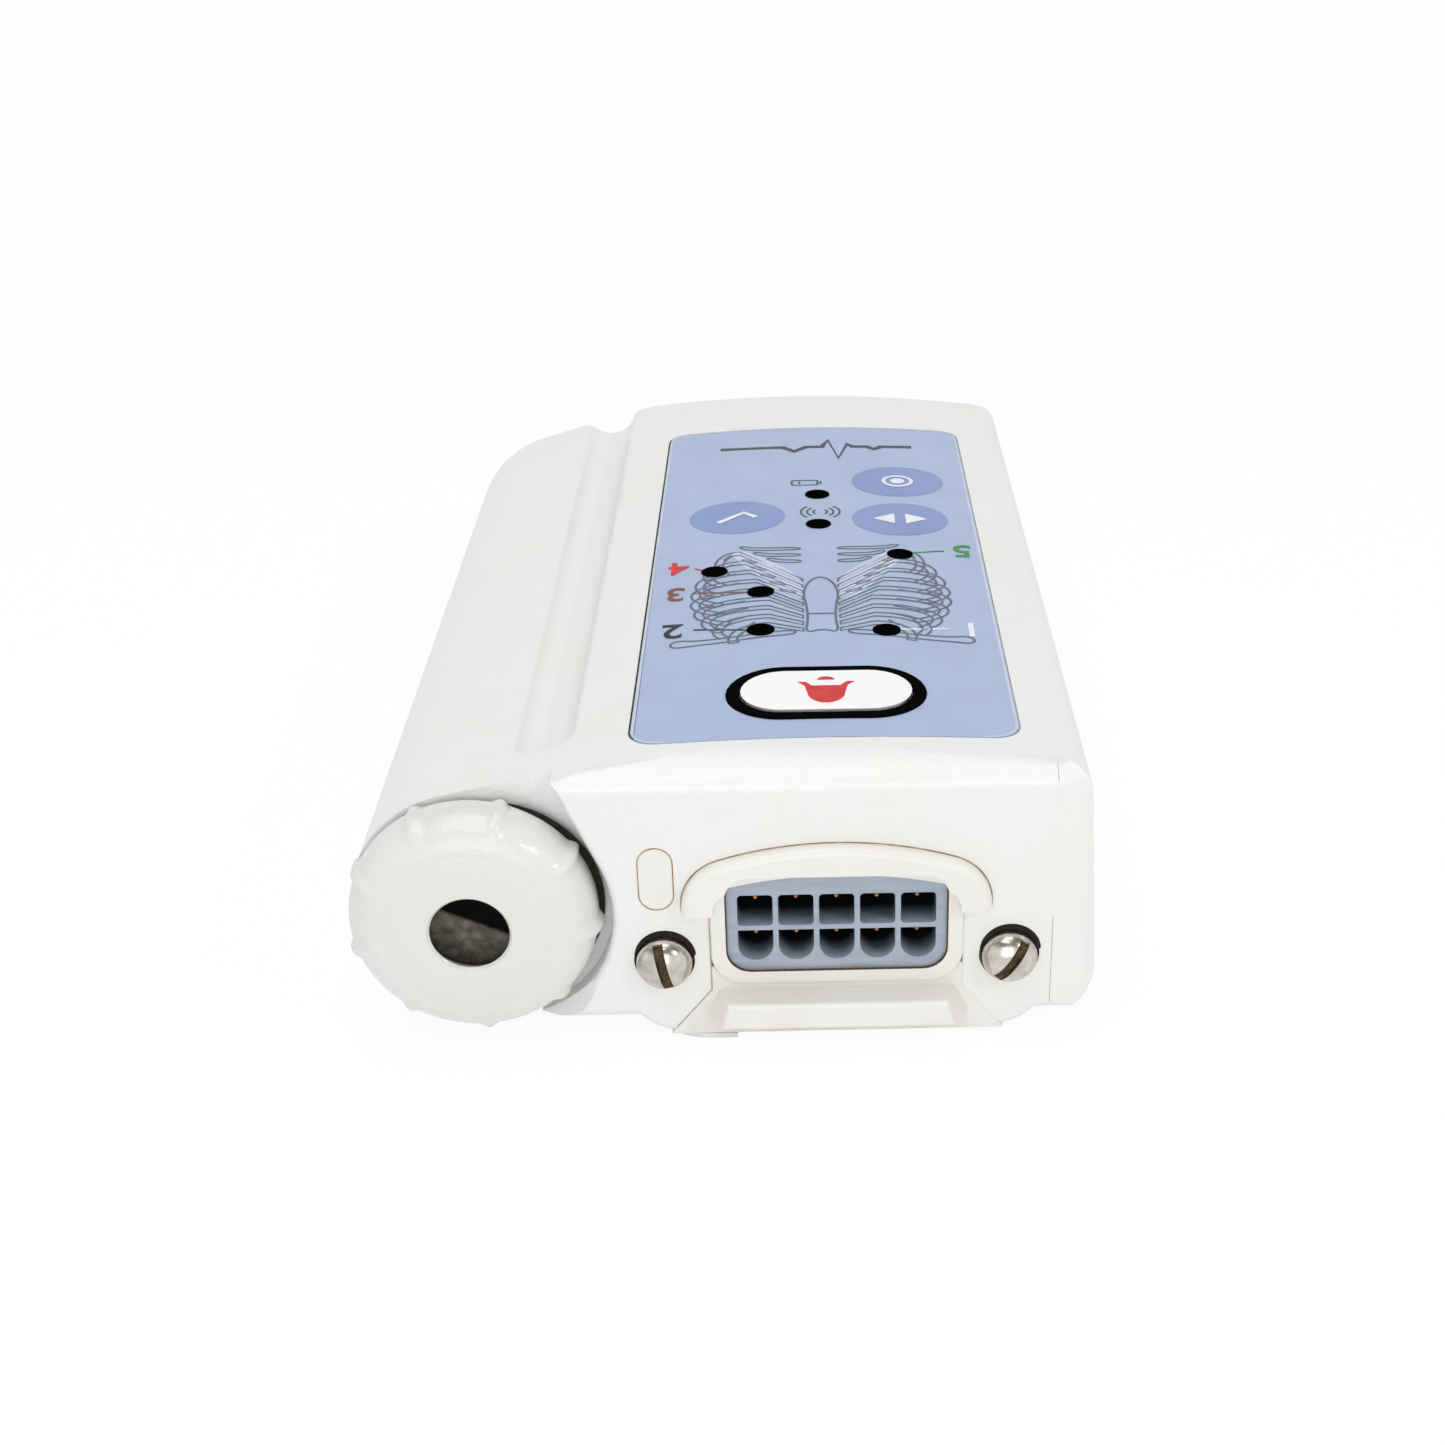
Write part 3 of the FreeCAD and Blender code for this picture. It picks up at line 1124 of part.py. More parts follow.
def battery_cap():
    """Screw cap: flat face with a round hole, full shoulder, grip lugs, threaded spigot behind."""
    seat = "cap_face - cap_rim"
    inner = "cap_face - cap_plate"
    blank = turned("cap_blank", [
        ("cap_hole_r", inner),
        ("cap_hole_r", "cap_face - cap_hole_edge"),
        ("cap_hole_r + cap_hole_edge", "cap_face"),
        ("cap_r", "cap_face"),
        ("cap_r", seat),
        ("spigot_r", seat),
        ("spigot_r", "-spigot_end"),
        ("spigot_bore_r", "-spigot_end"),
        ("spigot_bore_r", inner),
    ])
    face = size("cap_face") - NEAR
    rim = size("cap_r") - NEAR
    body = rounded("cap_body", blank, "cap_r - cap_flat_r",
                   lambda middle, run: middle.z > face and math.hypot(middle.x, middle.y) > rim)
    lugs = []
    for index in range(int(size("lug_count"))):
        angle = f"(lug_turn + {index}*360/lug_count)*1deg"
        lug = turned(f"lug_{index}", [
            ("0", "lug_nose"),
            ("lug_tip_r", "lug_nose"),
            ("lug_r", "lug_nose - lug_slope"),
            ("lug_r", seat),
            ("0", seat),
        ])
        place(lug, f"lug_ring_r*cos({angle})", f"lug_ring_r*sin({angle})", "0")
        lugs.append(lug)
    whole = join("cap_with_lugs", body, *lugs)
    whole.Placement = Placement(Vector(), OUTWARD)
    piece(whole, "battery_cap", "cap_x", "0", "cap_z")

    disc_front = f"{inner} - disc_gap"
    stud_end = "cell_nub - cell_front + stud_gap"
    disc = turned("cap_disc", [
        ("0", disc_front),
        ("disc_r", disc_front),
        ("disc_r", f"{disc_front} - disc_t"),
        ("stud_r", f"{disc_front} - disc_t"),
        ("stud_r", stud_end),
        ("0", stud_end),
    ])
    disc.Placement = Placement(Vector(), OUTWARD)
    piece(disc, "cap_contact", "cap_x", "0", "cap_z")

    seal = turned("cap_ring", [
        ("seal_in_r", f"{seat} - seal_gap"),
        ("seal_out_r", f"{seat} - seal_gap"),
        ("seal_out_r", f"{seat} - seal_gap - seal_t"),
        ("seal_in_r", f"{seat} - seal_gap - seal_t"),
    ])
    seal.Placement = Placement(Vector(), OUTWARD)
    piece(seal, "cap_seal", "cap_x", "0", "cap_z")


def rear_cover_screws():
    screws = []
    for index, (x, y) in enumerate(cover_screw_places(), start=1):
        screw = slotted_screw(f"cover_screw_{index}", "small_head_r", "small_shank_r", "small_head_h",
                              "small_dome", "cover_shank_l", "small_slot")
        screw.Placement = Placement(Vector(), DOWNWARD)
        place(screw, x, y, "-rest_depth + cover_seat")
        screws.append(screw)
    piece(group("cover_screw_set", screws), "rear_cover_screws")


case = case_form()
main_housing(case)
side_cover(case)
rear_cover()
rear_cover_screws()
connector_bezel()
bezel_screws()
screw_inserts()
connector_insert()
contact_pins()
piece(plug_shape("plug", "0", ("0", "plug_depth")), "port_plug")
keypad()
electronics()
battery()
battery_cap()
doc.recompute()

failed = [item.Name for item in doc.Objects if "Invalid" in item.State or "Error" in item.State]
if failed:
    raise RuntimeError("objects that failed to compute: " + ", ".join(failed))
os.makedirs("parts", exist_ok=True)
for item in PIECES:
    if item.Shape.isNull() or not item.Shape.isValid():
        raise RuntimeError(item.Label + " has no valid shape")
    item.Shape.exportStep(f"parts/{item.Label}.step")
    print(item.Label, len(item.Shape.Solids), round(item.Shape.Volume, 1))
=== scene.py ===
import math

import bmesh
import bpy
from mathutils import Matrix, Vector


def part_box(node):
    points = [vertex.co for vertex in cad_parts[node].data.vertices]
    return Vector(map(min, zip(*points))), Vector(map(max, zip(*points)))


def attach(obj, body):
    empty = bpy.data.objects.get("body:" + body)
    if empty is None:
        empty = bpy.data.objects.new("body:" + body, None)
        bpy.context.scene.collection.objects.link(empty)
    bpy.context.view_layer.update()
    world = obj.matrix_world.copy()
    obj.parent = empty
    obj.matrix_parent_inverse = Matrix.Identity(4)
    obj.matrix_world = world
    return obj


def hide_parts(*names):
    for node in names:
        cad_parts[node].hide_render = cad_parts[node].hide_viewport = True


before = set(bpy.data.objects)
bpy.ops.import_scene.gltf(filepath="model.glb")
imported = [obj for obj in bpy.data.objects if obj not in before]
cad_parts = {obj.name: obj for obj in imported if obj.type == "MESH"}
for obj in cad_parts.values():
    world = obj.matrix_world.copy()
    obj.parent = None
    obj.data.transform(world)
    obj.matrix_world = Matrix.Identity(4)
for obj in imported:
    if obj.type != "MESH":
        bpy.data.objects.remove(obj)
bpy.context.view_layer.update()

# Finish of a hand-sized white telemetry transmitter that lies on its back. Lengths below are in
# millimetres from the middle of the lead socket on the front wall: right, to the rear and up.
MM = 0.001
INSERT_FOOT = -6.7
insert_low, insert_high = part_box("connector_insert")
SOCKET_X = (insert_low.x + insert_high.x) / 2
SOCKET = Vector((SOCKET_X, insert_low.y, insert_low.z - INSERT_FOOT * MM))

# A face of the CAD mesh thinner than SLIVER has no sure direction. Its points nearer than MERGE are
# one point, and so are points of a new piece nearer than WELD.
SLIVER = 0.02
MERGE = 0.002
WELD = 0.0005

# Edges that turn by more degrees than this stay sharp: CAD copies, new pieces and turned pieces.
COPY_EDGE = 30.0
PIECE_EDGE = 35.0
TURNED_EDGE = 40.0

# The gently crowned top that carries the keypad.
CROWN_R = 320.0
CROWN_X = -0.7
CROWN_TOP = 17.2

# Keypad film: its sides, ends, arched rear edge and corners, and the pale line printed round it.
FILM_X = -0.9
FILM_HALF = 20.05
FILM_FRONT = 6.2
FILM_REAR = 101.2
FILM_ARCH_R = 182.0
FILM_CORNER = 3.0
BORDER_INSET = 0.22
BORDER_WIDTH = 0.3

# Keys, lamps and their printed edges.
KEYS = {"key_record": (10.0, 79.6), "key_select": (9.7, 66.1), "key_check": (-11.0, 67.5)}
KEY_HALF = (5.9, 5.35)
KEY_BORDER = 0.4
LAMPS = [(-0.7, 74.8), (-0.7, 64.4), (9.1, 54.4), (-13.4, 50.0), (-7.8, 43.4), (6.5, 32.1),
         (-7.7, 32.7)]
LAMP_R = 1.6

# How high print lies on the crowned top, and on the keys, which stand a little proud of it.
PRINT_THICK = 0.02
UNDER_LIFT = -0.01
FLUSH = 0.0
LINE_LIFT = 0.01
NUMBER_LIFT = 0.03
LEADER_LIFT = 0.02
LAMP_LIFT = 0.05
KEY_LIFT = 0.07

# Marks on the keys, round each key's middle: rings as (radius, points), an arrowhead and a tick.
RECORD_RINGS = [(2.1, 24), (1.6, 24), (0.95, 18)]
ARROWHEAD = [(0.7, -1.7), (3.4, 0.0), (0.7, 1.7)]
TICK = [(2.4, -0.3), (0.8, 1.4), (-2.4, -1.8)]
TICK_WIDTH = 0.75

# Call button: its middle, its height over the crown, the black ring round it and the white face
# inside, wide and long, and the middle and half the thickness of the ring.
CALL = (-0.6, 16.4)
CALL_PROUD = 0.35
CALL_RING = (21.3, 12.3)
CALL_INNER = (18.5, 9.5)
CALL_FACE = (18.2, 9.2)
RING_LIFT = -0.125
RING_THICK = 0.245

# Bell on the call button: its dome's drop and radii, its skirt, and the clapper as a rise and two
# radii. Its ink is thinner than other print, so that it hardly adds to the button's height.
BELL_DROP = 0.8
BELL_DOME = (2.0, 2.4)
BELL_SKIRT = [(2.3, 0.9), (3.1, 1.9)]
CLAPPER = (2.25, 0.95, 0.85)
BELL_LIFT = 0.002
BELL_THICK = 0.003

# Battery mark and its pole and level, then the radio waves: middles, sizes and line widths.
BATTERY = (-2.1, 79.2)
BATTERY_LEFT, BATTERY_RIGHT, BATTERY_HALF, BATTERY_CORNER = 1.9, 1.5, 0.85, 0.25
POLE_X, POLE_HALF = 1.9, 0.45
LEVEL_X, LEVEL_HALF = 0.9, 0.35
BATTERY_WIDTH = 0.28
WAVES = (-0.4, 68.6)
WAVE_RADII = (0.9, 1.7, 2.5)
WAVE_SPREAD = 48
WAVE_WIDTH = 0.26

# Heartbeat trace, from its right end to the left and towards the front.
PULSE_START = (12.6, 93.2)
PULSE = [(0.0, 0.0), (4.2, 0.0), (5.2, 1.0), (6.2, 0.0), (8.2, 0.0), (8.9, -1.0), (10.2, 4.6),
         (11.5, -2.6), (12.4, 0.0), (14.6, 0.0), (16.2, 1.7), (17.8, 0.0), (26.4, 0.0)]
PULSE_WIDTH = 1.05

# Lead tags: number, ink, where the number stands, and the two ends of the line to its lamp.
TAGS = [
    ("1", "ink_white", (16.1, 32.7), (13.6, 32.6), (8.0, 32.3)),
    ("2", "ink_black", (-17.7, 33.6), (-15.3, 33.5), (-9.2, 32.8)),
    ("3", "ink_brown", (-17.8, 44.0), (-15.6, 43.9), (-9.3, 43.5)),
    ("4", "ink_red", (-17.8, 51.8), (-15.8, 51.3), (-14.8, 50.6)),
    ("5", "ink_green", (16.8, 56.0), (14.6, 55.7), (10.6, 54.9)),
]
TAG_SIZE = 5.2
TAG_BOLD = 0.06
LEADER_WIDTH = 0.34

# Rib figure: its place, the width of a rib, how far a rib bends back up, and the line width.
RIB_X = -0.75
RIB_Y = 0.6
RIB_BAND = 1.0
RIB_BEND = 4.2
RIB_COUNT = 9
RIB_LINE = 0.3
# Ribs from the top one down: their tops and steps, their reach and the widest rib, the start of the
# bend, their root, and the angle at the bend's end.
RIB_TOP, RIB_STEP, RIB_GROWTH = 34.0, 2.3, 0.045
RIB_REACH, RIB_WIDEST, RIB_FALL = 15.2, 4.6, 0.22
RIB_BEND_X, RIB_BEND_STEP, RIB_BEND_FROM = 6.0, 0.75, 3
RIB_ROOT_X, RIB_ROOT_Y, RIB_ROOT_STEP, RIB_ROOT_SHARE = 2.1, 32.2, 1.75, 0.8
RIB_END, RIB_END_STEP, RIB_END_MOST = -15, 14, -55
# Stroke behind each rib: the point of the outline it starts near, and its two ends.
STROKE_POINT = 9
STROKE_START = (-0.9, 0.5)
STROKE_X, STROKE_STEP, STROKE_DROP = 7.6, 0.4, 2.0
# Half of the breastbone, its cross line, a collarbone and the gristle arch, across and to the rear.
BREASTBONE = [(1.9, 30.9), (1.55, 34.8), (1.7, 38.5), (2.1, 42.0), (1.5, 45.4), (0.0, 47.2)]
BREASTBONE_NOTCH = (0.0, 32.0)
BREASTBONE_BAR = [(-1.6, 36.2), (1.6, 36.2)]
COLLARBONE = [(3.0, 31.9), (7.0, 31.2), (11.0, 30.2), (14.4, 29.8), (16.2, 30.2), (17.2, 29.3),
              (16.6, 28.2), (14.4, 28.6), (11.0, 29.1), (7.0, 30.2), (3.0, 30.7)]
GRISTLE = [(1.9, 39.5), (2.1, 46.6), (5.6, 51.8), (9.6, 56.0), (10.9, 54.6), (8.7, 49.8),
           (6.6, 45.6), (4.5, 41.6)]
# Gaps in the gristle and short floating ribs: the first one's place and the step to the next.
GAP_COUNT = 5
GAP_START, GAP_STEP = (3.9, 42.8), (1.15, 2.35)
GAP_OUTLINE = [(-1.0, -0.75), (0.7, 0.1), (1.0, 0.75), (-0.7, -0.1)]
FLOATING_COUNT = 3
FLOATING_START, FLOATING_STEP = (4.8, 51.4), (1.7, 2.0)
FLOATING_ROOT, FLOATING_BAND = 2.3, 0.8
FLOATING_HOOK = [(0.0, 0.1), (1.7, 1.2), (1.2, 1.7), (-0.2, 0.9)]

# Bezel screws: where they stand, how each is turned, and their section as (radius, height) points
# up to the dome's foot, with the dome's middle height and radii.
SCREW_X = 17.9
SCREW_Z = -5.4
SCREW_SEAT = 1.2
SCREW_SIDES = {"left": (-1, 102.0), "right": (1, 55.0)}
SCREW_SHANK = [(0.0, -5.4), (1.5, -5.4), (1.5, 0.0), (2.75, 0.0), (2.9, 0.15)]
SCREW_DOME = (1.7, 2.9, 2.0)
SCREW_STEPS = 64
# Slot in a screw head: width, floor, and the cut's length and height; then the dirt packed in it.
SLOT_WIDTH = 1.05
SLOT_FLOOR = 2.3
SLOT_CUT = (8.0, 4.0)
SLOT_DIRT_LENGTH, SLOT_DIRT_WIDTH, SLOT_DIRT_TOP = 4.5, 1.0, 3.0
# Painted shadow in the hole over each screw head: inner and outer radius, the outer circle's shift,
# its angles and depth.
SCREW_SHADOW = (2.95, 3.2, 0.1, 0.45, 5, 175)
SCREW_SHADOW_DEPTH = (-0.02, 0.03)

# Socket: how far its two rows of cavities are set down, and the room that they take. Then the
# arched lower edge of the hood before it: radius, lowest point, sides, angles and depth.
ROW_DROP = 1.65
ROW_REACH, ROW_LOW, ROW_HIGH = 10.6, -5.3, 4.1
VISOR_R = 48.0
VISOR_LOW = 4.75
VISOR_HALF, VISOR_SIDE, VISOR_TOP = 11.7, 3.35, 6.0
VISOR_ARC = (103.7, 76.3)
VISOR_DEPTH = (-0.4, -0.03)

# Screw cap: its axis and seat, and its section as (radius, height) points in front of the round
# shoulder and behind it.
CAP_X = -37.2
CAP_Z = 0.1
CAP_SEAT = 2.4
CAP_FRONT = [(7.9, 1.0), (4.95, 1.0), (4.05, 2.7), (4.3, 3.0), (8.75, 3.0)]
CAP_SHOULDER = (8.85, -0.95, 3.85, 3.9)
CAP_BACK = [(12.7, -2.2), (12.4, -2.5), (9.3, -2.5), (9.3, -11.6), (7.9, -11.6)]
CAP_STEPS = 216
# Soft lugs round the cap: first angle, step, half width in degrees, height, and where they rise.
LUG_TURN = -6.0
LUG_STEP = 40.0
LUG_SPREAD = 5.2
LUG_OUT = 0.55
LUG_INNER = 10.3
LUG_RISE = 1.7
LUG_FOOT = -3.0
# Painted shadow in the cap's hollow, given the same way as the painted shadow over a screw head.
POCKET_SHADOW = (11.3, 11.7, 1.65, 0.75, 105, -55)
POCKET_SHADOW_THICK = 0.12

# Tabs of the back cover: their depth, their least distance from the middle and their corners.
TAB_DEPTH = 4.0
TAB_REACH = 18.0
TAB_CORNER = 5.5
TAB_SEGMENTS = 10
FLAT_ANGLE = 1.0

# Seam between the case and the right cover, over the top and down both ends.
SEAM_X = 22.3
SEAM_RUN = [(115.1, -11.0), (115.1, 14.0), (114.9, 14.9), (114.3, 15.7), (113.3, 16.2),
            (112.0, 16.3), (2.6, 16.3), (0.9, 15.35), (0.25, 14.6), (0.1, 14.0), (0.1, -12.0)]
SEAM_DUST = (-1.0, -11.5)
# Edge of the bezel on the right: down beside the collar, then out under the screw's ear.
BEZEL_EDGE = [(13.11, 0.6), (13.11, -9.15), (16.85, -13.7)]
BEZEL_Y = 0.02
# Lower corners of the collar: middles and radius.
COLLAR_X, COLLAR_Z, COLLAR_R = 9.5, -4.75, 3.6
# Outlines of the hood, the blank plug and the insert, each a little outside its edge.
HOOD_LINE = (15.96, 8.36, 40.0, 5.5, 0.7)
PLUG_LINE = (-20.18, -16.62, 0.77, 8.03, 1.77)
INSERT_LINE = (-11.43, 11.43, -6.73, 5.23, 2.53)
INSERT_LINE_Y = -0.3
# Dirt along the film's left side: how far outside the film, its end and its width.
FILM_DIRT_OUT = -0.04
FILM_DIRT_NEAR = 0.5
FILM_DIRT_END = 98.5
FILM_DIRT_WIDTH = 0.16

# Noise in the materials: the part of its range that is used. How strongly plastics bend light.
NOISE_SPAN = (0.3, 0.7)
ABS_IOR = 1.54
FILM_IOR = 1.58
# Brown dirt and painted shade in the screw holes of the case: its edge round the hole, and its
# start and end with depth.
DIRT_SHADE_EDGE = (3.3, 3.18)
DIRT_SHADE_START = (0.02, 0.4)
DIRT_SHADE_END = (4.0, 4.2)
# The moulded skin shows at the front end, and fades out over this distance from the front wall.
SKIN_FADE = (3.0, 8.0)
# Depth over which painted shade turns the cavities dark, and how dark.
CAVITY_SHADE_FADE = (0.2, 3.6)
CAVITY_SHADE = 0.97
# Painted shadow of the hole's rim on the cap's contact: its rise over the axis, its lean, its soft
# edge and how dark it is.
RIM_SHADOW_RISE = 0.1
RIM_SHADOW_LEAN = 0.45
RIM_SHADOW_EDGE = (-0.15, 0.35)
RIM_SHADOW_DARK = 0.97

# Light: level from all round, what reflections see from low to high, and the floor's own share.
SKY_LEVEL = 0.58
ROOM_RISE = (0.4, 0.65)
ROOM_LEVELS = (1.0, 0.25)
FLOOR_GLOW = 0.93
FLOOR_SIZE = 6.0
WHITE = (1.0, 1.0, 1.0, 1.0)
# Lights: place, target, width, depth and watts.
LIGHTS = {
    "overhead": ((-60, 40, 620), (0, 40, 0), 420, 420, 1.0),
    "front_right": ((420, -360, 400), (0, 0, 0), 70, 70, 0.55),
    "front": ((-60, -620, 200), (0, 0, 0), 420, 420, 0.95),
    "strip": ((-140, -260, 600), (-20, 0, 15), 360, 50, 0.4),
}

# Camera: place, angles in degrees, lens and the shift of its axis.
CAMERA_AT = (-3.29, -183.049, 115.567)
CAMERA_PITCH = 27.088
CAMERA_YAW = 1.488
CAMERA_ROLL = -0.335
CAMERA_SENSOR = 36.0
CAMERA_LENS = 52.318
CAMERA_SHIFT = -0.0882
CAMERA_NEAR = 0.01


def spot(x, y, z):
    """A place given from the socket's middle, in the frame's metres."""
    return SOCKET + Vector((x, y, z)) * MM


def crown(x):
    """Height of the case top above the socket's middle."""
    return CROWN_TOP - CROWN_R + math.sqrt(CROWN_R**2 - (x - CROWN_X) ** 2)


# Materials

def colour(code):
    """A hex sRGB colour as linear RGBA."""
    levels = [int(code[start:start + 2], 16) / 255 for start in (1, 3, 5)]
    return [v / 12.92 if v <= 0.04045 else ((v + 0.055) / 1.055) ** 2.4 for v in levels] + [1.0]


def node(tree, kind, inputs, **settings):
    """Add a node with its settings, its sockets' values and its links."""
    made = tree.nodes.new("ShaderNode" + kind)
    for name, value in settings.items():
        setattr(made, name, value)
    for socket, value in inputs.items():
        if isinstance(value, bpy.types.NodeSocket):
            tree.links.new(value, made.inputs[socket])
        else:
            made.inputs[socket].default_value = value
    return made


def finish(name):
    """A new material with its surface shader and the piece's own coordinates in millimetres."""
    material = bpy.data.materials.new(name)
    material.use_nodes = True
    tree = material.node_tree
    shader = tree.nodes["Principled BSDF"]
    place = node(tree, "TexCoord", {}).outputs["Object"]
    scale = (1 / MM, 1 / MM, 1 / MM)
    place = node(tree, "Mapping", {0: place, 1: -SOCKET / MM, 3: scale}).outputs[0]
    return material, tree, shader, place


def ramp(tree, value, start, end, low, high):
    """A value carried from one range to another and held at its ends."""
    return node(tree, "MapRange", {0: value, 1: start, 2: end, 3: low, 4: high}).outputs[0]


def noise(tree, place, size, **inputs):
    """Noise with patches of one size in millimetres."""
    return node(tree, "TexNoise", {"Vector": place, "Scale": 1 / size, **inputs}).outputs[0]


def mottle(tree, place, size, low, high, detail=2.0):
    """Cloudy variation between two values, with patches of one size in millimetres."""
    return ramp(tree, noise(tree, place, size, Detail=detail), *NOISE_SPAN, low, high)


def blend(tree, amount, first, second):
    """A mix of two colours."""
    return node(tree, "Mix", {0: amount, 6: first, 7: second}, data_type="RGBA").outputs[2]


def sums(tree, operation, first, second):
    """One step of arithmetic."""
    return node(tree, "Math", {0: first, 1: second}, operation=operation).outputs[0]


def bumps(tree, shader, height, strength, depth):
    """Small bumps in a surface: their pattern, its strength and its depth in millimetres."""
    bump = node(tree, "Bump", {"Strength": strength, "Distance": depth * MM, "Height": height})
    tree.links.new(bump.outputs[0], shader.inputs["Normal"])


def paint(tree, shader, base, rough):
    """Give a surface its colour and its roughness."""
    tree.links.new(base, shader.inputs["Base Color"])
    tree.links.new(rough, shader.inputs["Roughness"])


def well_dirt_and_shade(tree, place, axes):
    """How much brown dirt and painted shade the case gets: only inside the two screw holes, in
    patches.
    """
    across = sums(tree, "SUBTRACT", sums(tree, "ABSOLUTE", axes[0], 0.0), SCREW_X)
    up = sums(tree, "SUBTRACT", axes[2], SCREW_Z)
    away = node(tree, "CombineXYZ", {0: across, 1: up})
    away = node(tree, "VectorMath", {0: away.outputs[0]}, operation="LENGTH").outputs["Value"]
    ring = ramp(tree, away, *DIRT_SHADE_EDGE, 0.0, 1.0)
    start = ramp(tree, axes[1], *DIRT_SHADE_START, 0.0, 1.0)
    end = ramp(tree, axes[1], *DIRT_SHADE_END, 1.0, 0.0)
    dirt = sums(tree, "MULTIPLY", ring, sums(tree, "MULTIPLY", start, end))
    return sums(tree, "MULTIPLY", dirt, mottle(tree, place, 1.2, 0.7, 1.0))


def moulded_abs(name, fresh, aged, share, peel, rough=(0.29, 0.37), dirt_and_shade=True):
    """Injection-moulded ABS: satin gloss over a fine orange-peel skin that breaks highlights into
    specks, yellowed in patches, with brown dirt and painted shade in the screw holes."""
    material, tree, shader, place = finish(name)
    base = blend(tree, mottle(tree, place, 14.0, 0.0, share, 3.0), colour(fresh), colour(aged))
    axes = node(tree, "SeparateXYZ", {0: place}).outputs
    if dirt_and_shade:
        # Brown dirt and painted shade inside the two screw holes.
        base = blend(tree, well_dirt_and_shade(tree, place, axes), base, colour("#33261A"))
    # The real grain is about 0.2 mm, too fine to show here, so it is drawn at about 0.45 mm.
    grain = noise(tree, place, 0.45, Detail=1.5, Roughness=0.6)
    broad = noise(tree, place, 1.6, Detail=1.0)
    near = ramp(tree, axes[1], *SKIN_FADE, 1.0, 0.0)
    bumps(tree, shader, sums(tree, "ADD", grain, broad), near, peel)
    # Roughness stays on one side of 0.28, because a surface that crosses it renders with specks.
    paint(tree, shader, base, mottle(tree, place, 3.0, *rough))
    shader.inputs["IOR"].default_value = ABS_IOR
    return material


def printed_film(name, code, rough=0.36, shade=0.06, specular=0.5):
    """Polycarbonate film printed from behind: an even satin skin, its ink a touch cloudy."""
    material, tree, shader, place = finish(name)
    ink = colour(code)
    darker = [channel * (1 - shade) for channel in ink[:3]] + [1.0]
    base = blend(tree, mottle(tree, place, 6.0, 0.0, 1.0), ink, darker)
    paint(tree, shader, base, mottle(tree, place, 9.0, rough - 0.04, rough + 0.05))
    # A fine film grain of about 0.1 mm, drawn at 0.3 mm so that it shows.
    bumps(tree, shader, noise(tree, place, 0.3, Detail=1.0), 0.5, 0.006)
    shader.inputs["IOR"].default_value = FILM_IOR
    shader.inputs["Specular IOR Level"].default_value = specular
    return material


def moulded_nylon(name):
    """Glass-filled nylon: blue-grey, duller than the case, with faint flow streaks across, and its
    cavities darkened with depth by painted shade."""
    material, tree, shader, place = finish(name)
    streaks = node(tree, "Mapping", {0: place, 3: (0.25, 1.0, 1.6)}).outputs[0]
    flow = mottle(tree, streaks, 1.5, 0.0, 1.0, 3.0)
    base = blend(tree, flow, colour("#A9B4C0"), colour("#98A4B2"))
    behind = node(tree, "SeparateXYZ", {0: place}).outputs[1]
    # Painted shade: the cavities turn nearly black with depth behind the socket's face.
    depth_shade = ramp(tree, behind, *CAVITY_SHADE_FADE, 0.0, CAVITY_SHADE)
    base = blend(tree, depth_shade, base, colour("#07090C"))
    bumps(tree, shader, noise(tree, place, 0.35, Detail=2.0), 0.6, 0.02)
    paint(tree, shader, base, mottle(tree, place, 1.0, 0.34, 0.46))
    return material


def metal(name, bright, dull, rough, patch, dents=0.0):
    """Bare or plated metal, worn unevenly: bright where rubbed, cloudy where tarnished."""
    material, tree, shader, place = finish(name)
    wear = mottle(tree, place, patch, 0.0, 1.0, 4.0)
    base = blend(tree, wear, colour(bright), colour(dull))
    paint(tree, shader, base, mottle(tree, place, patch / 2, *rough, 3.0))
    shader.inputs["Metallic"].default_value = 1.0
    if dents:
        bumps(tree, shader, noise(tree, place, 0.5, Detail=4.0), 0.5, dents)
    return material


def shadowed_contact(name):
    """Spring steel in the bottom of the cap's hole: scuffed grey below, and black towards the top
    right under a painted shadow of the hole's rim."""
    material, tree, shader, place = finish(name)
    scuffs = mottle(tree, place, 1.2, 0.0, 1.0, 5.0)
    steel = blend(tree, scuffs, colour("#7C756C"), colour("#4B453E"))
    axes = node(tree, "SeparateXYZ", {0: place}).outputs
    # Painted shadow of the hole's rim: black above a leaning line, towards the top right.
    rise = sums(tree, "SUBTRACT", axes[2], CAP_Z + RIM_SHADOW_RISE)
    lean = sums(tree, "MULTIPLY", sums(tree, "SUBTRACT", axes[0], CAP_X), RIM_SHADOW_LEAN)
    rim_shadow = ramp(tree, sums(tree, "ADD", rise, lean), *RIM_SHADOW_EDGE, 0.0, RIM_SHADOW_DARK)
    base = blend(tree, rim_shadow, steel, colour("#050404"))
    paint(tree, shader, base, mottle(tree, place, 0.9, 0.45, 0.65, 3.0))
    shader.inputs["Metallic"].default_value = 1.0
    return material


def dull_coat(name, first, second, rough, patch):
    """Ink, rubber, lacquer and dried dirt: two close colours in patches, with an uneven sheen."""
    material, tree, shader, place = finish(name)
    cloud = mottle(tree, place, patch, 0.0, 1.0, 3.0)
    base = blend(tree, cloud, colour(first), colour(second))
    paint(tree, shader, base, mottle(tree, place, patch, rough, min(1.0, rough + 0.12)))
    return material


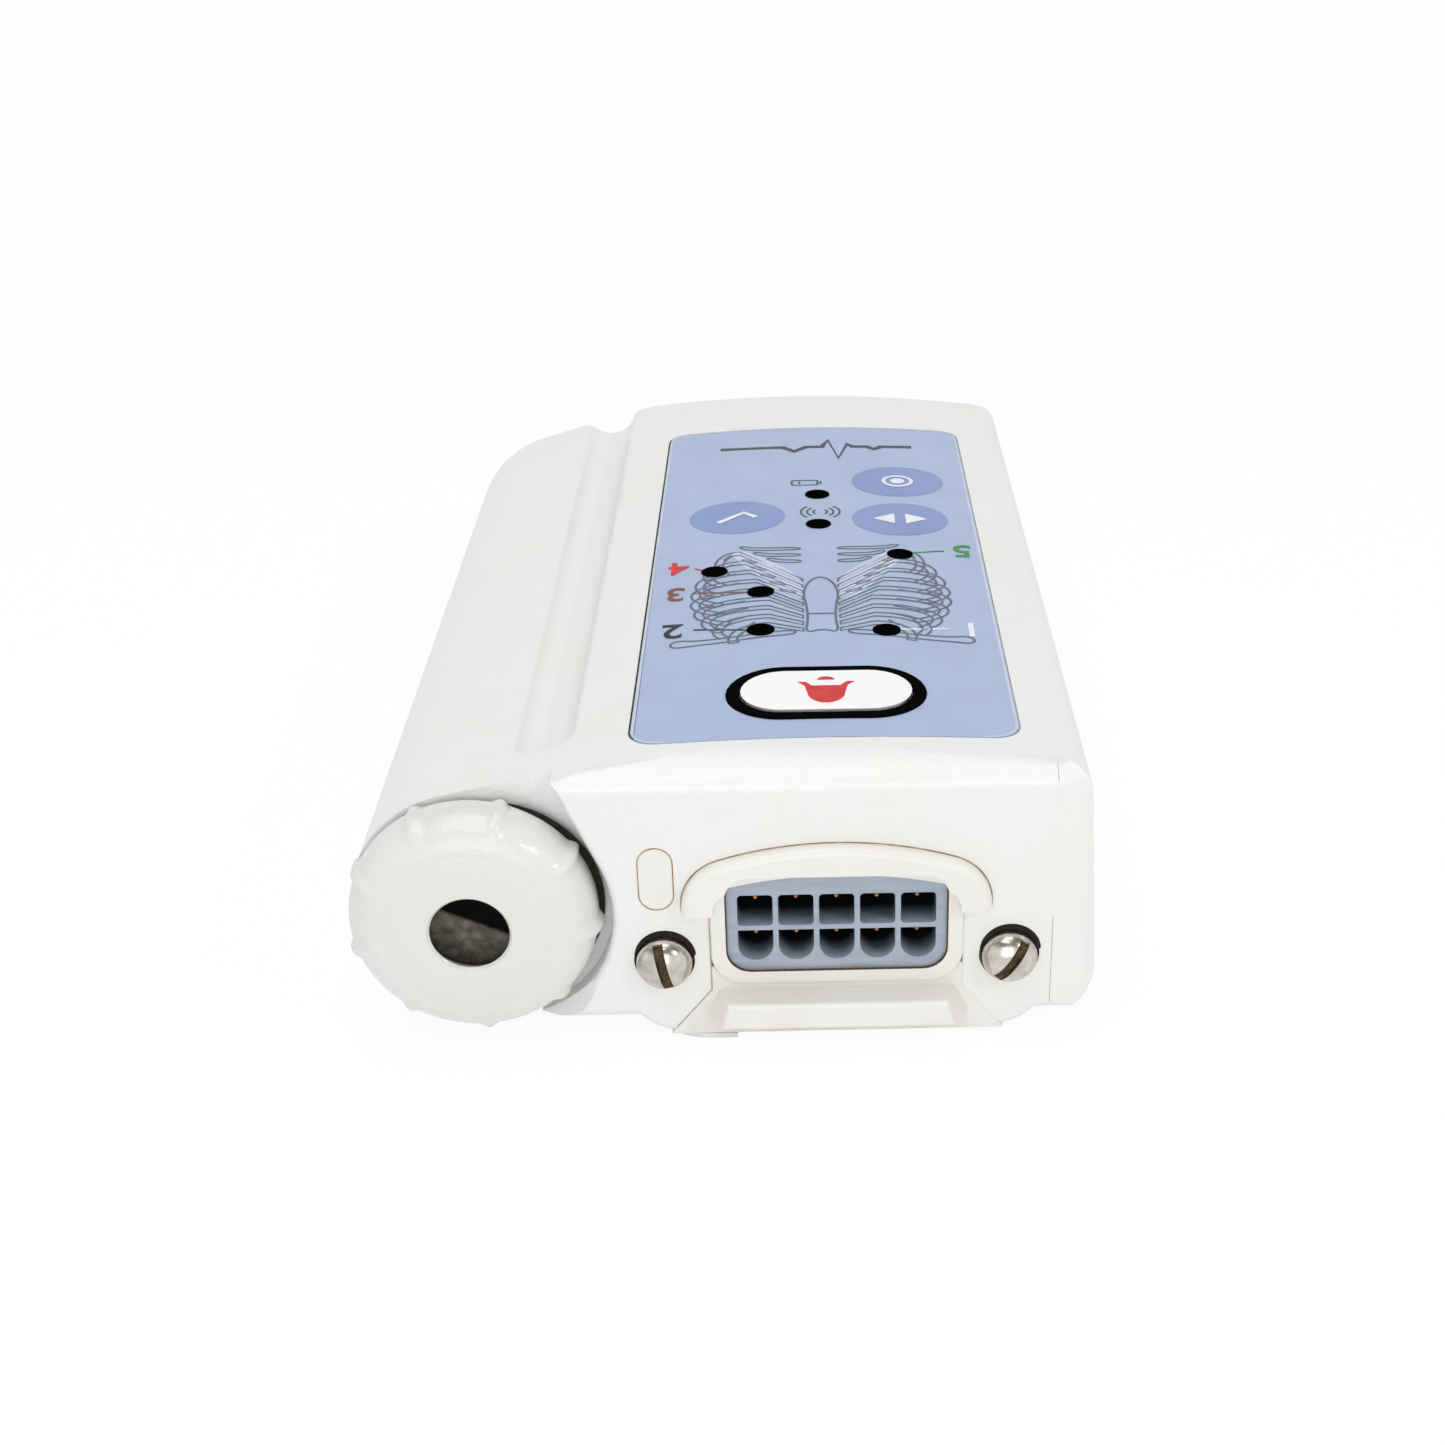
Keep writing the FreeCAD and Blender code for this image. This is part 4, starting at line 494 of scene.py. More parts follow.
FINISHES = {
    # Satin white that breaks highlights into specks; the bezel is a little yellower and smoother,
    # the cap greyer and glossier.
    "case_abs": moulded_abs("case_abs_moulded", "#EBEBEA", "#E8E7E2", 0.5, 0.06),
    "bezel_abs": moulded_abs("bezel_abs_moulded", "#EBEAE7", "#E4E0D5", 0.7, 0.025),
    "cap_abs": moulded_abs("cap_abs_moulded", "#E0E0DE", "#DCDBD6", 0.5, 0.05, (0.2, 0.26), False),
    # Dull blue-grey with streaks, and painted shade that turns it black deep in the cavities.
    "socket_nylon": moulded_nylon("socket_nylon_moulded"),
    # Even satin colour: pale blue film, deeper blue keys and a clean white button.
    "film_polycarbonate": printed_film("film_polycarbonate_printed", "#A9BADA"),
    "key_polycarbonate": printed_film("key_polycarbonate_printed", "#7F96CA"),
    "button_polycarbonate": printed_film("button_polycarbonate_printed", "#FAFAFA", 0.32, 0.02),
    # Black without a reflection, so that the ring and the dark lamps read as holes in the print.
    "ring_polycarbonate": printed_film("ring_polycarbonate_printed", "#0B0B0C", 0.45, specular=0.0),
    "lamp_polycarbonate": printed_film("lamp_polycarbonate_smoked", "#060607", 0.4, specular=0.0),
    # Pale ink of the film's border and the rib figure's gristle.
    "ink_pale": dull_coat("ink_pale_screened", "#C9D4E6", "#BFCBE0", 0.4, 3.0),
    # Bright plated screws with soft wear, dull contacts, the cap's one with a painted shadow, and
    # warm copper pins.
    "screw_nickel": metal("screw_steel_nickel_plated", "#D9D5CD", "#B5B0A6", (0.14, 0.3), 1.4,
                          0.02),
    "contact_steel": metal("contact_steel_tarnished", "#857E74", "#4A443C", (0.38, 0.6), 1.8, 0.03),
    "cap_contact_steel": shadowed_contact("cap_contact_steel_shadowed"),
    "pin_copper": metal("pin_copper_alloy_tinned", "#D9A071", "#B47A4C", (0.25, 0.4), 0.8),
    # Matt black rubber, a dark sleeve, green lacquer and milky lamps.
    "seal_rubber": dull_coat("seal_rubber_moulded", "#141414", "#1E1D1C", 0.6, 1.0),
    "cell_sleeve": dull_coat("cell_sleeve_shrunk", "#26282B", "#2E3034", 0.3, 5.0),
    "board_laminate": dull_coat("board_laminate_lacquered", "#1B5A37", "#174D30", 0.28, 3.0),
    "lamp_epoxy": dull_coat("lamp_epoxy_cast", "#E4E6DA", "#D8DBCD", 0.22, 1.0),
    # Dry matt dirt: brown in slots and faint brown or grey in seams; and nearly black painted
    # shadow in hollows.
    "dried_dirt": dull_coat("dried_dirt_packed", "#5E4829", "#2A1D10", 0.8, 0.35),
    # Painted shadow, nearly black, for the screw holes and the cap's hollow.
    "shadow_black": dull_coat("shadow_black_painted", "#1C140C", "#0E0A07", 0.85, 0.8),
    "seam_stain": dull_coat("seam_stain_dried", "#B79E74", "#7F6641", 0.75, 1.3),
    "seam_pale": dull_coat("seam_stain_faint", "#C9B898", "#AE9A76", 0.75, 1.5),
    "seam_grey": dull_coat("seam_dust_settled", "#C4C1B8", "#B3AFA4", 0.75, 2.5),
}
# Screened inks: flat colours with the least cloudiness.
INKS = {
    "white": ("#F2F4F8", "#E6EAF2"),
    "black": ("#151517", "#1F1F22"),
    "brown": ("#8C5230", "#7A4526"),
    "red": ("#DA2B2B", "#C92426"),
    "green": ("#2F9440", "#287F37"),
    "grey": ("#5C6474", "#69717F"),
    "dark": ("#44464F", "#4E515C"),
}
for ink, shades in INKS.items():
    FINISHES["ink_" + ink] = dull_coat(f"ink_{ink}_screened", *shades, 0.45, 2.0)


# Making pieces

def keep(piece, body, finish_name):
    """Give a finished piece its material and its body."""
    piece.data.materials.clear()
    piece.data.materials.append(FINISHES[finish_name])
    bpy.context.scene.collection.objects.link(piece)
    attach(piece, body)
    return piece


def facings(build):
    """The direction of each face; a sliver takes that of the face across its longest edge."""
    facing = {}
    for face in build.faces:
        longest = max(edge.calc_length() for edge in face.edges)
        if 2 * face.calc_area() > SLIVER * MM * longest:
            facing[face] = face.normal
    left = [face for face in build.faces if face not in facing]
    while left:
        for face in left:
            edges = sorted(face.edges, key=lambda edge: edge.calc_length(), reverse=True)
            known = [other for edge in edges for other in edge.link_faces if other in facing]
            if known:
                facing[face] = facing[known[0]]
        rest = [face for face in left if face not in facing]
        if len(rest) == len(left):
            facing.update({face: face.normal for face in rest})
            rest = []
        left = rest
    return facing


def shade(build, angle):
    """Shade a mesh smooth, with edges kept sharp past an angle in degrees."""
    facing = facings(build)
    limit = math.radians(angle)
    for face in build.faces:
        face.smooth = True
    for edge in build.edges:
        faces = edge.link_faces
        edge.smooth = len(faces) == 2 and facing[faces[0]].angle(facing[faces[1]], 0.0) < limit


def smoothed(source, body, finish_name, angle=COPY_EDGE, reshape=None):
    """A merged copy of a CAD node's mesh, shaded smooth over its rounds, in the node's place."""
    build = bmesh.new()
    build.from_mesh(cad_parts[source].data)
    bmesh.ops.remove_doubles(build, verts=build.verts, dist=MERGE * MM)
    bmesh.ops.dissolve_degenerate(build, edges=build.edges, dist=MERGE * MM)
    if reshape:
        reshape(build)
    build.normal_update()
    shade(build, angle)
    mesh = bpy.data.meshes.new(source + "_finished")
    build.to_mesh(mesh)
    build.free()
    if "custom_normal" in mesh.attributes:
        mesh.attributes.remove(mesh.attributes["custom_normal"])
    piece = bpy.data.objects.new(source + "_finished", mesh)
    weigh = piece.modifiers.new("even_shading", "WEIGHTED_NORMAL")
    weigh.keep_sharp = True
    keep(piece, body, finish_name)
    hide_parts(source)


def piece_of(name, build, body, finish_name, angle=PIECE_EDGE):
    """Turn a bmesh, already in place, into a finished piece."""
    bmesh.ops.remove_doubles(build, verts=build.verts, dist=WELD * MM)
    bmesh.ops.recalc_face_normals(build, faces=build.faces)
    mesh = bpy.data.meshes.new(name)
    build.to_mesh(mesh)
    build.free()
    mesh.polygons.foreach_set("use_smooth", [True] * len(mesh.polygons))
    mesh.set_sharp_from_angle(angle=math.radians(angle))
    return keep(bpy.data.objects.new(name, mesh), body, finish_name)


def curve_mesh(curve):
    """The mesh of a curve or text, in a new bmesh."""
    holder = bpy.data.objects.new(curve.name, curve)
    mesh = bpy.data.meshes.new_from_object(holder)
    build = bmesh.new()
    build.from_mesh(mesh)
    bpy.data.objects.remove(holder)
    bpy.data.meshes.remove(mesh)
    return build


def add_path(curve, points, closed):
    """A run of straight lines through places, added to a curve."""
    spline = curve.splines.new("POLY")
    spline.points.add(len(points) - 1)
    spline.use_cyclic_u = closed
    for point, place in zip(spline.points, points):
        point.co = (*place, 1.0)


def round_lines(name, paths, radius):
    """The mesh of thin round bars along paths, each a list of places and a flag for closed."""
    curve = bpy.data.curves.new(name, "CURVE")
    curve.dimensions = "3D"
    curve.bevel_depth = radius
    curve.bevel_resolution = 1
    curve.use_fill_caps = True
    for points, closed in paths:
        add_path(curve, points, closed)
    return curve_mesh(curve)


def flat_plate(name, outlines):
    """The mesh of a plate from -1 to 1 in height; an outline inside another is a hole in it."""
    curve = bpy.data.curves.new(name, "CURVE")
    curve.dimensions = "2D"
    curve.fill_mode = "BOTH"
    curve.extrude = 1.0
    for points in outlines:
        add_path(curve, [(x, y, 0.0) for x, y in points], True)
    return curve_mesh(curve)


def drape(build, lift, thick=PRINT_THICK):
    """Lay flat artwork, drawn in millimetres from above, on the crowned top."""
    for vert in build.verts:
        x, y, z = vert.co
        vert.co = spot(x, y, crown(x) + lift + max(-1.0, min(1.0, z)) * thick)


def lines(name, paths, width, ink, lift=LINE_LIFT, body="case"):
    """Printed lines: each path is a list of (x, y) points and a flag for a closed one."""
    flat = [([(x, y, 0.0) for x, y in points], closed) for points, closed in paths]
    build = round_lines(name, flat, width / 2)
    for vert in build.verts:
        vert.co.z /= width / 2
    drape(build, lift)
    piece_of(name, build, body, ink)


def shapes(name, outlines, ink, lift, body="case", thick=PRINT_THICK):
    """Printed solid shapes from closed outlines."""
    build = flat_plate(name, outlines)
    drape(build, lift, thick)
    return piece_of(name, build, body, ink)


def wall_plate(name, outline, depth, finish_name):
    """A plate on the front wall, from an outline of (x, z) points and its front and back."""
    front, back = depth
    build = flat_plate(name, [outline])
    for vert in build.verts:
        x, z, side = vert.co
        vert.co = spot(x, back if side > 0 else front, z)
    piece_of(name, build, "case", finish_name)


def seam(name, points, closed, radius, finish_name):
    """A thin bead along a seam, through places given from the socket's middle."""
    build = round_lines(name, [([spot(*place) for place in points], closed)], radius * MM)
    piece_of(name, build, "case", finish_name)


# Outlines

def arc_points(x, y, radius_x, radius_y, start, end, count):
    """Points on an elliptic arc, angles in degrees."""
    turns = [math.radians(start + (end - start) * step / count) for step in range(count + 1)]
    return [(x + radius_x * math.cos(turn), y + radius_y * math.sin(turn)) for turn in turns]


def oval(x, y, radius_x, radius_y, count=24):
    """A closed outline of points on an ellipse."""
    return arc_points(x, y, radius_x, radius_y, 0, 360 - 360 / count, count - 1)


def pill(x, y, width, length):
    """A closed outline with half-round ends."""
    radius = length / 2
    reach = width / 2 - radius
    right = arc_points(x + reach, y, radius, radius, -90, 90, 16)
    return right + arc_points(x - reach, y, radius, radius, 90, 270, 16)


def rounded_box(left, right, low, high, corner, count=8):
    """A closed outline with round corners."""
    points = []
    for x, y, start in ((right, high, 0), (left, high, 90), (left, low, 180), (right, low, 270)):
        inner_x = x - corner if x == right else x + corner
        inner_y = y - corner if y == high else y + corner
        points += arc_points(inner_x, inner_y, corner, corner, start, start + 90, count)
    return points


def arched_line(half, top, arch_r, corner, low):
    """An arch with rounded shoulders, from its left end to its right end."""
    turn_x = half - corner
    turn_y = top - arch_r + math.sqrt((arch_r - corner) ** 2 - turn_x**2)
    lean = math.degrees(math.asin(turn_x / (arch_r - corner)))
    right = arc_points(turn_x, turn_y, corner, corner, 0, 90 - lean, 8)
    over = arc_points(0.0, top - arch_r, arch_r, arch_r, 90 - lean, 90, 10)
    half_line = [(half, low)] + right + over[1:]
    return [(-x, y) for x, y in half_line] + [(x, y) for x, y in half_line[-2::-1]]


def crescent(x, z, inner_r, outer_r, shift_x, shift_z, start, end):
    """A thin moon between two circles, the outer one shifted, as (x, z) points."""
    outer = arc_points(x + shift_x, z + shift_z, outer_r, outer_r, start, end, 24)
    return outer + arc_points(x, z, inner_r, inner_r, end, start, 24)


def eased(points):
    """A closed outline with its corners cut twice, so that it runs smoothly."""
    for _ in range(2):
        pairs = zip(points, points[1:] + points[:1])
        points = [(ax + share * (bx - ax), ay + share * (by - ay))
                  for (ax, ay), (bx, by) in pairs for share in (0.25, 0.75)]
    return points


def moved(x, y, points):
    """Points given from a middle."""
    return [(x + across, y + along) for across, along in points]


def film_edge(inset):
    """The film's outline, drawn in from its edge: arched rear and sides, then front corners."""
    half = FILM_HALF - inset
    front = FILM_FRONT + FILM_CORNER
    corner = FILM_CORNER - inset
    rear = arched_line(half, FILM_REAR - inset, FILM_ARCH_R - inset, corner, front)
    ends = arc_points(half - corner, front, corner, corner, 0, -90, 8)
    ends += arc_points(corner - half, front, corner, corner, -90, -180, 8)
    return [(FILM_X + x, y) for x, y in rear + ends]


def on_wall(outline, y=0.0):
    """Places on the front wall from (x, z) points."""
    return [(x, y, z) for x, z in outline]


# Turned and reshaped pieces

def spun(profile, steps):
    """A closed profile of (radius, height) points in millimetres, turned about its axis."""
    build = bmesh.new()
    verts = [build.verts.new((radius, 0.0, height)) for radius, height in profile]
    edges = [build.edges.new(pair) for pair in zip(verts, verts[1:] + verts[:1])]
    bmesh.ops.spin(build, geom=verts + edges, cent=(0.0, 0.0, 0.0), axis=(0.0, 0.0, 1.0),
                   dvec=(0.0, 0.0, 0.0), angle=math.tau, steps=steps, use_merge=True,
                   use_duplicate=False)
    bmesh.ops.remove_doubles(build, verts=build.verts, dist=WELD)
    bmesh.ops.dissolve_degenerate(build, edges=build.edges, dist=WELD)
    return build


def bar(length, width, low, high, turn):
    """A straight bar across the axis of a turned form, between two heights, turned in degrees."""
    build = bmesh.new()
    bmesh.ops.create_cube(build, size=1.0)
    bmesh.ops.scale(build, verts=build.verts, vec=(length, width, high - low))
    bmesh.ops.translate(build, verts=build.verts, vec=(0.0, 0.0, (high + low) / 2))
    spin = Matrix.Rotation(math.radians(turn), 3, "Z")
    bmesh.ops.rotate(build, verts=build.verts, matrix=spin)
    return build


def stand_at(build, x, y, z):
    """Place a turned form with its height towards the front."""
    bmesh.ops.scale(build, verts=build.verts, vec=(MM, MM, MM))
    upright = Matrix.Rotation(math.radians(90), 4, "X")
    build.transform(Matrix.Translation(spot(x, y, z)) @ upright)


def drop_rows(build):
    """Set the two rows of cavities lower in the socket's face."""
    for vert in build.verts:
        x, _, z = (vert.co - SOCKET) / MM
        if abs(x) < ROW_REACH and ROW_LOW < z < ROW_HIGH:
            vert.co.z -= ROW_DROP * MM


def drop_pin(build):
    """Set a contact pin as much lower as its cavity."""
    bmesh.ops.translate(build, verts=build.verts, vec=(0.0, 0.0, -ROW_DROP * MM))


def round_tabs(build):
    """Round the front corners of the back cover's tabs."""
    bmesh.ops.dissolve_limit(build, angle_limit=math.radians(FLAT_ANGLE), verts=build.verts,
                             edges=build.edges)
    front = min(vert.co.y for vert in build.verts)
    corners = []
    for edge in build.edges:
        first, second = (vert.co for vert in edge.verts)
        upright = (first - second).to_2d().length < MERGE * MM
        outside = abs((first.x - SOCKET.x) / MM) > TAB_REACH
        if upright and outside and first.y < front + TAB_DEPTH * MM:
            corners.append(edge)
    bmesh.ops.bevel(build, geom=corners, offset=TAB_CORNER * MM, offset_type="OFFSET",
                    affect="EDGES", segments=TAB_SEGMENTS, profile=0.5, material=-1)


def cap():
    """The screw cap, turned in one piece, with soft grip lugs pushed out of its rim."""
    build = spun(CAP_FRONT + arc_points(*CAP_SHOULDER, 90, 0, 14) + CAP_BACK, CAP_STEPS)
    for vert in build.verts:
        x, y, height = vert.co
        radius = math.hypot(x, y)
        if radius > LUG_INNER and height > LUG_FOOT:
            turn = (math.degrees(math.atan2(y, x)) - LUG_TURN) % LUG_STEP
            off = min(turn, LUG_STEP - turn) / LUG_SPREAD
            swell = LUG_OUT * (0.5 + 0.5 * math.cos(math.pi * min(1.0, off)))
            swell *= min(1.0, (radius - LUG_INNER) / LUG_RISE)
            vert.co.x *= 1 + swell / radius
            vert.co.y *= 1 + swell / radius
    stand_at(build, CAP_X, 0.0, CAP_Z)
    piece = piece_of("battery_cap_finished", build, "battery_cap", "cap_abs",
                     TURNED_EDGE)
    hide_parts("battery_cap")


def slotted(turn):
    """The mesh of a screw with a well-rounded head, its slot turned in degrees."""
    foot, *radii = SCREW_DOME
    length, high = SLOT_CUT
    forms = (spun(SCREW_SHANK + arc_points(0.0, foot, *radii, 0, 90, 12), SCREW_STEPS),
             bar(length, SLOT_WIDTH, SLOT_FLOOR, SLOT_FLOOR + high, turn))
    holders = []
    for form in forms:
        bmesh.ops.recalc_face_normals(form, faces=form.faces)
        mesh = bpy.data.meshes.new("screw_form")
        form.to_mesh(mesh)
        form.free()
        holders.append(bpy.data.objects.new("screw_form", mesh))
        bpy.context.scene.collection.objects.link(holders[-1])
    slot = holders[0].modifiers.new("slot", "BOOLEAN")
    slot.object = holders[1]
    slot.operation = "DIFFERENCE"
    slot.solver = "EXACT"
    graph = bpy.context.evaluated_depsgraph_get()
    cut = bpy.data.meshes.new_from_object(holders[0].evaluated_get(graph))
    for holder in holders:
        bpy.data.objects.remove(holder)
    return cut


def screws():
    """Two slotted screws, in one piece as in the CAD."""
    whole = bmesh.new()
    for sign, turn in SCREW_SIDES.values():
        cut = slotted(turn)
        part = bmesh.new()
        part.from_mesh(cut)
        stand_at(part, sign * SCREW_X, SCREW_SEAT, SCREW_Z)
        part.to_mesh(cut)
        part.free()
        whole.from_mesh(cut)
    piece = piece_of("bezel_screws_finished", whole, "case", "screw_nickel")
    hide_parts("bezel_screws")


# Case and socket

smoothed("main_housing", "case", "case_abs")
smoothed("side_cover", "case", "case_abs")
smoothed("rear_cover", "case", "case_abs", reshape=round_tabs)
smoothed("connector_bezel", "case", "bezel_abs")
smoothed("port_plug", "case", "bezel_abs")
smoothed("connector_insert", "case", "socket_nylon", reshape=drop_rows)
screws()
smoothed("rear_cover_screws", "case", "screw_nickel", TURNED_EDGE)
cap()
smoothed("cap_seal", "battery_cap", "seal_rubber")
smoothed("cap_contact", "cap_contact", "cap_contact_steel")
for index in range(1, 6):
    for row in ("top", "low"):
        smoothed(f"contact_pin_{row}_{index}", "case", "pin_copper", reshape=drop_pin)

# Keypad

smoothed("label_overlay", "case", "film_polycarbonate")
smoothed("call_button", "call_button", "button_polycarbonate")
for key in KEYS:
    smoothed(key, key, "key_polycarbonate")
for index in range(1, len(LAMPS) + 1):
    smoothed(f"led_window_{index}", "case", "lamp_polycarbonate")

# Hood in front of the socket

visor = [(-VISOR_HALF, VISOR_TOP), (-VISOR_HALF, VISOR_SIDE)]
visor += arc_points(0.0, VISOR_LOW - VISOR_R, VISOR_R, VISOR_R, *VISOR_ARC, 16)
visor += [(VISOR_HALF, VISOR_SIDE), (VISOR_HALF, VISOR_TOP)]
wall_plate("hood_visor", visor, VISOR_DEPTH, "bezel_abs")

# Pieces inside the closed case keep their CAD meshes.
INSIDE = {
    "main_board": "board_laminate",
    "connector_board": "board_laminate",
    "rf_shield": "contact_steel",
    "board_screws": "screw_nickel",
    "screw_inserts": "pin_copper",
    "battery_cell_front": "cell_sleeve",
    "battery_cell_rear": "cell_sleeve",
    "battery_contact_rear": "contact_steel",
    "call_switch": "ring_polycarbonate",
}
INSIDE.update({key + "_switch": "ring_polycarbonate" for key in KEYS})
INSIDE.update({f"led_{index}": "lamp_epoxy" for index in range(1, len(LAMPS) + 1)})
for name, finish_name in INSIDE.items():
    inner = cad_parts[name].data
    inner.materials.clear()
    inner.materials.append(FINISHES[finish_name])


# Print on the film

def beside(side, points):
    """Points given by their distance from the rib figure's middle line, on one side of it."""
    return [(RIB_X + side * across, RIB_Y + y) for across, y in points]


def rib_outline(rib):
    """One rib as a closed band: out from the breastbone, round its bend and back. Lower ribs lie
    further apart, reach out most in the middle of the cage and bend further round."""
    top = RIB_TOP + RIB_STEP * rib + RIB_GROWTH * rib**2
    reach = RIB_REACH - RIB_FALL * (rib - RIB_WIDEST) ** 2
    bend_x = RIB_BEND_X + RIB_BEND_STEP * max(0, rib - RIB_BEND_FROM)
    root = RIB_ROOT_Y + RIB_ROOT_STEP * rib
    end = max(RIB_END_MOST, RIB_END - RIB_END_STEP * rib)
    bend_y = top - RIB_BEND
    wide = reach - bend_x
    outer = arc_points(bend_x, bend_y, wide, RIB_BEND, 90, end, 16)
    inner = arc_points(bend_x, bend_y, wide - RIB_BAND, RIB_BEND - RIB_BAND, end, 90, 16)
    back = [(RIB_ROOT_X, root - RIB_ROOT_SHARE * RIB_BAND)]
    return [(RIB_ROOT_X, root)] + outer + inner + back


def floating_rib(step):
    """A short rib that ends in a small hook, below the others."""
    end = FLOATING_START[0] + FLOATING_STEP[0] * step
    y = FLOATING_START[1] + FLOATING_STEP[1] * step
    hook = moved(end, y, FLOATING_HOOK)
    return [(FLOATING_ROOT, y)] + hook + [(FLOATING_ROOT, y + FLOATING_BAND)]


def rib_cage():
    """A plain front view of ribs, breastbone and collarbones in thin grey outline, from arcs."""
    whole = beside(1, BREASTBONE) + beside(-1, BREASTBONE[-2::-1]) + beside(1, [BREASTBONE_NOTCH])
    paths = [(eased(whole), True), (beside(1, BREASTBONE_BAR), False)]
    arches = []
    gaps = []
    for side in (-1, 1):
        paths.append((eased(beside(side, COLLARBONE)), True))
        for rib in range(RIB_COUNT):
            outline = rib_outline(rib)
            paths.append((beside(side, outline), True))
            # A short stroke from the rib's bend to the next one shows its rear part.
            far_x, far_y = outline[STROKE_POINT]
            stroke = moved(far_x, far_y, [STROKE_START])
            stroke += [(STROKE_X + STROKE_STEP * rib, far_y + STROKE_DROP)]
            paths.append((beside(side, stroke), False))
        for step in range(FLOATING_COUNT):
            paths.append((eased(beside(side, floating_rib(step))), True))
        arches.append(eased(beside(side, GRISTLE)))
        for step in range(GAP_COUNT):
            middle_x = GAP_START[0] + GAP_STEP[0] * step
            middle_y = GAP_START[1] + GAP_STEP[1] * step
            gaps.append(eased(beside(side, moved(middle_x, middle_y, GAP_OUTLINE))))
    shapes("print_gristle", arches, "ink_pale", UNDER_LIFT)
    shapes("print_gristle_gaps", gaps, "film_polycarbonate", FLUSH)
    lines("print_rib_cage", paths + [(gap, True) for gap in gaps], RIB_LINE, "ink_grey")


def lead_tags():
    """A number in its own colour for each lead, and a line from it to its lamp."""
    for number, ink, place, near, far in TAGS:
        curve = bpy.data.curves.new("tag_" + number, "FONT")
        curve.body = number
        curve.align_x = "CENTER"
        curve.align_y = "CENTER"
        curve.size = TAG_SIZE
        curve.offset = TAG_BOLD
        curve.extrude = 1.0
        build = curve_mesh(curve)
        # The keypad is read from the rear end.
        bmesh.ops.rotate(build, verts=build.verts, matrix=Matrix.Rotation(math.pi, 3, "Z"))
        bmesh.ops.translate(build, verts=build.verts, vec=(*place, 0.0))
        drape(build, NUMBER_LIFT)
        piece_of("print_tag_" + number, build, "case", ink)
        lines("print_leader_" + number, [([near, far], False)], LEADER_WIDTH, ink, LEADER_LIFT)


def key_marks():
    """White marks on the keys: a dot in a ring, two arrowheads and a tick."""
    x, y = KEYS["key_record"]
    rings = [oval(x, y, radius, radius, count) for radius, count in RECORD_RINGS]
    shapes("mark_record", rings, "ink_white", KEY_LIFT, "key_record")
    x, y = KEYS["key_select"]
    arrows = [[(x + side * across, y + along) for across, along in ARROWHEAD] for side in (-1, 1)]
    shapes("mark_select", arrows, "ink_white", KEY_LIFT, "key_select")
    tick = moved(*KEYS["key_check"], TICK)
    lines("mark_check", [(tick, False)], TICK_WIDTH, "ink_white", KEY_LIFT, "key_check")


def call_button():
    """The black ring, and the white face that fills it, a thin skin on the button."""
    outlines = [pill(*CALL, *CALL_RING), pill(*CALL, *CALL_INNER)]
    ring = shapes("call_button_ring_finished", outlines, "ring_polycarbonate", RING_LIFT,
                  thick=RING_THICK)
    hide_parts("call_button_ring")
    shapes("call_button_face", [pill(*CALL, *CALL_FACE)], "button_polycarbonate",
           CALL_PROUD - PRINT_THICK, "call_button")


def call_mark():
    """A plain red bell on the call button."""
    x, y = CALL
    bell = arc_points(x, y - BELL_DROP, *BELL_DOME, 180, 360, 14) + moved(x, y, BELL_SKIRT)
    bell += moved(x, y, [(-across, along) for across, along in BELL_SKIRT[::-1]])
    rise, *radii = CLAPPER
    clapper = arc_points(x, y + rise, *radii, 0, 180, 8)
    shapes("mark_call", [bell, clapper], "ink_red", CALL_PROUD + BELL_LIFT, "call_button",
           BELL_THICK)


def status_marks():
    """Small grey marks over the two upper lamps: a battery, and waves from an aerial."""
    x, y = BATTERY
    body = rounded_box(x - BATTERY_LEFT, x + BATTERY_RIGHT, y - BATTERY_HALF, y + BATTERY_HALF,
                       BATTERY_CORNER, 3)
    pole = [(x + POLE_X, y - POLE_HALF), (x + POLE_X, y + POLE_HALF)]
    level = [(x - LEVEL_X, y - LEVEL_HALF), (x - LEVEL_X, y + LEVEL_HALF)]
    lines("mark_battery", [(body, True), (pole, False), (level, False)], BATTERY_WIDTH, "ink_dark")
    waves = [(arc_points(*WAVES, side * radius, radius, -WAVE_SPREAD, WAVE_SPREAD, 8), False)
             for radius in WAVE_RADII for side in (-1, 1)]
    lines("mark_waves", waves, WAVE_WIDTH, "ink_dark")


def pulse_trace():
    """One plain heartbeat trace across the rear end of the film."""
    trace = [(PULSE_START[0] - x, PULSE_START[1] - y) for x, y in PULSE]
    lines("print_pulse", [(trace, False)], PULSE_WIDTH, "ink_dark")


rib_cage()
lead_tags()
key_marks()
call_button()
call_mark()
status_marks()
pulse_trace()
key_edges = [(oval(*place, *KEY_HALF, 36), True) for place in KEYS.values()]
lines("key_borders", key_edges, KEY_BORDER, "key_polycarbonate", FLUSH)
lines("print_border", [(film_edge(BORDER_INSET), True)], BORDER_WIDTH, "ink_pale", FLUSH)
lamp_edges = [oval(x, y, LAMP_R, LAMP_R) for x, y in LAMPS]
shapes("lamp_faces", lamp_edges, "lamp_polycarbonate", LAMP_LIFT)


# Dirt left in the seams, beads that close the seams where none shows, and painted shadow in the
# screw holes and the cap's hollow

collar = arc_points(COLLAR_X, COLLAR_Z, COLLAR_R, COLLAR_R, 0, -90, 8)
collar += arc_points(-COLLAR_X, COLLAR_Z, COLLAR_R, COLLAR_R, -90, -180, 8)
bezel_left = [(-x, z) for x, z in BEZEL_EDGE]
cover_seam = [(SEAM_X, y, z) for y, z in SEAM_RUN]
cover_dust = [(SEAM_X, z) for z in SEAM_DUST]
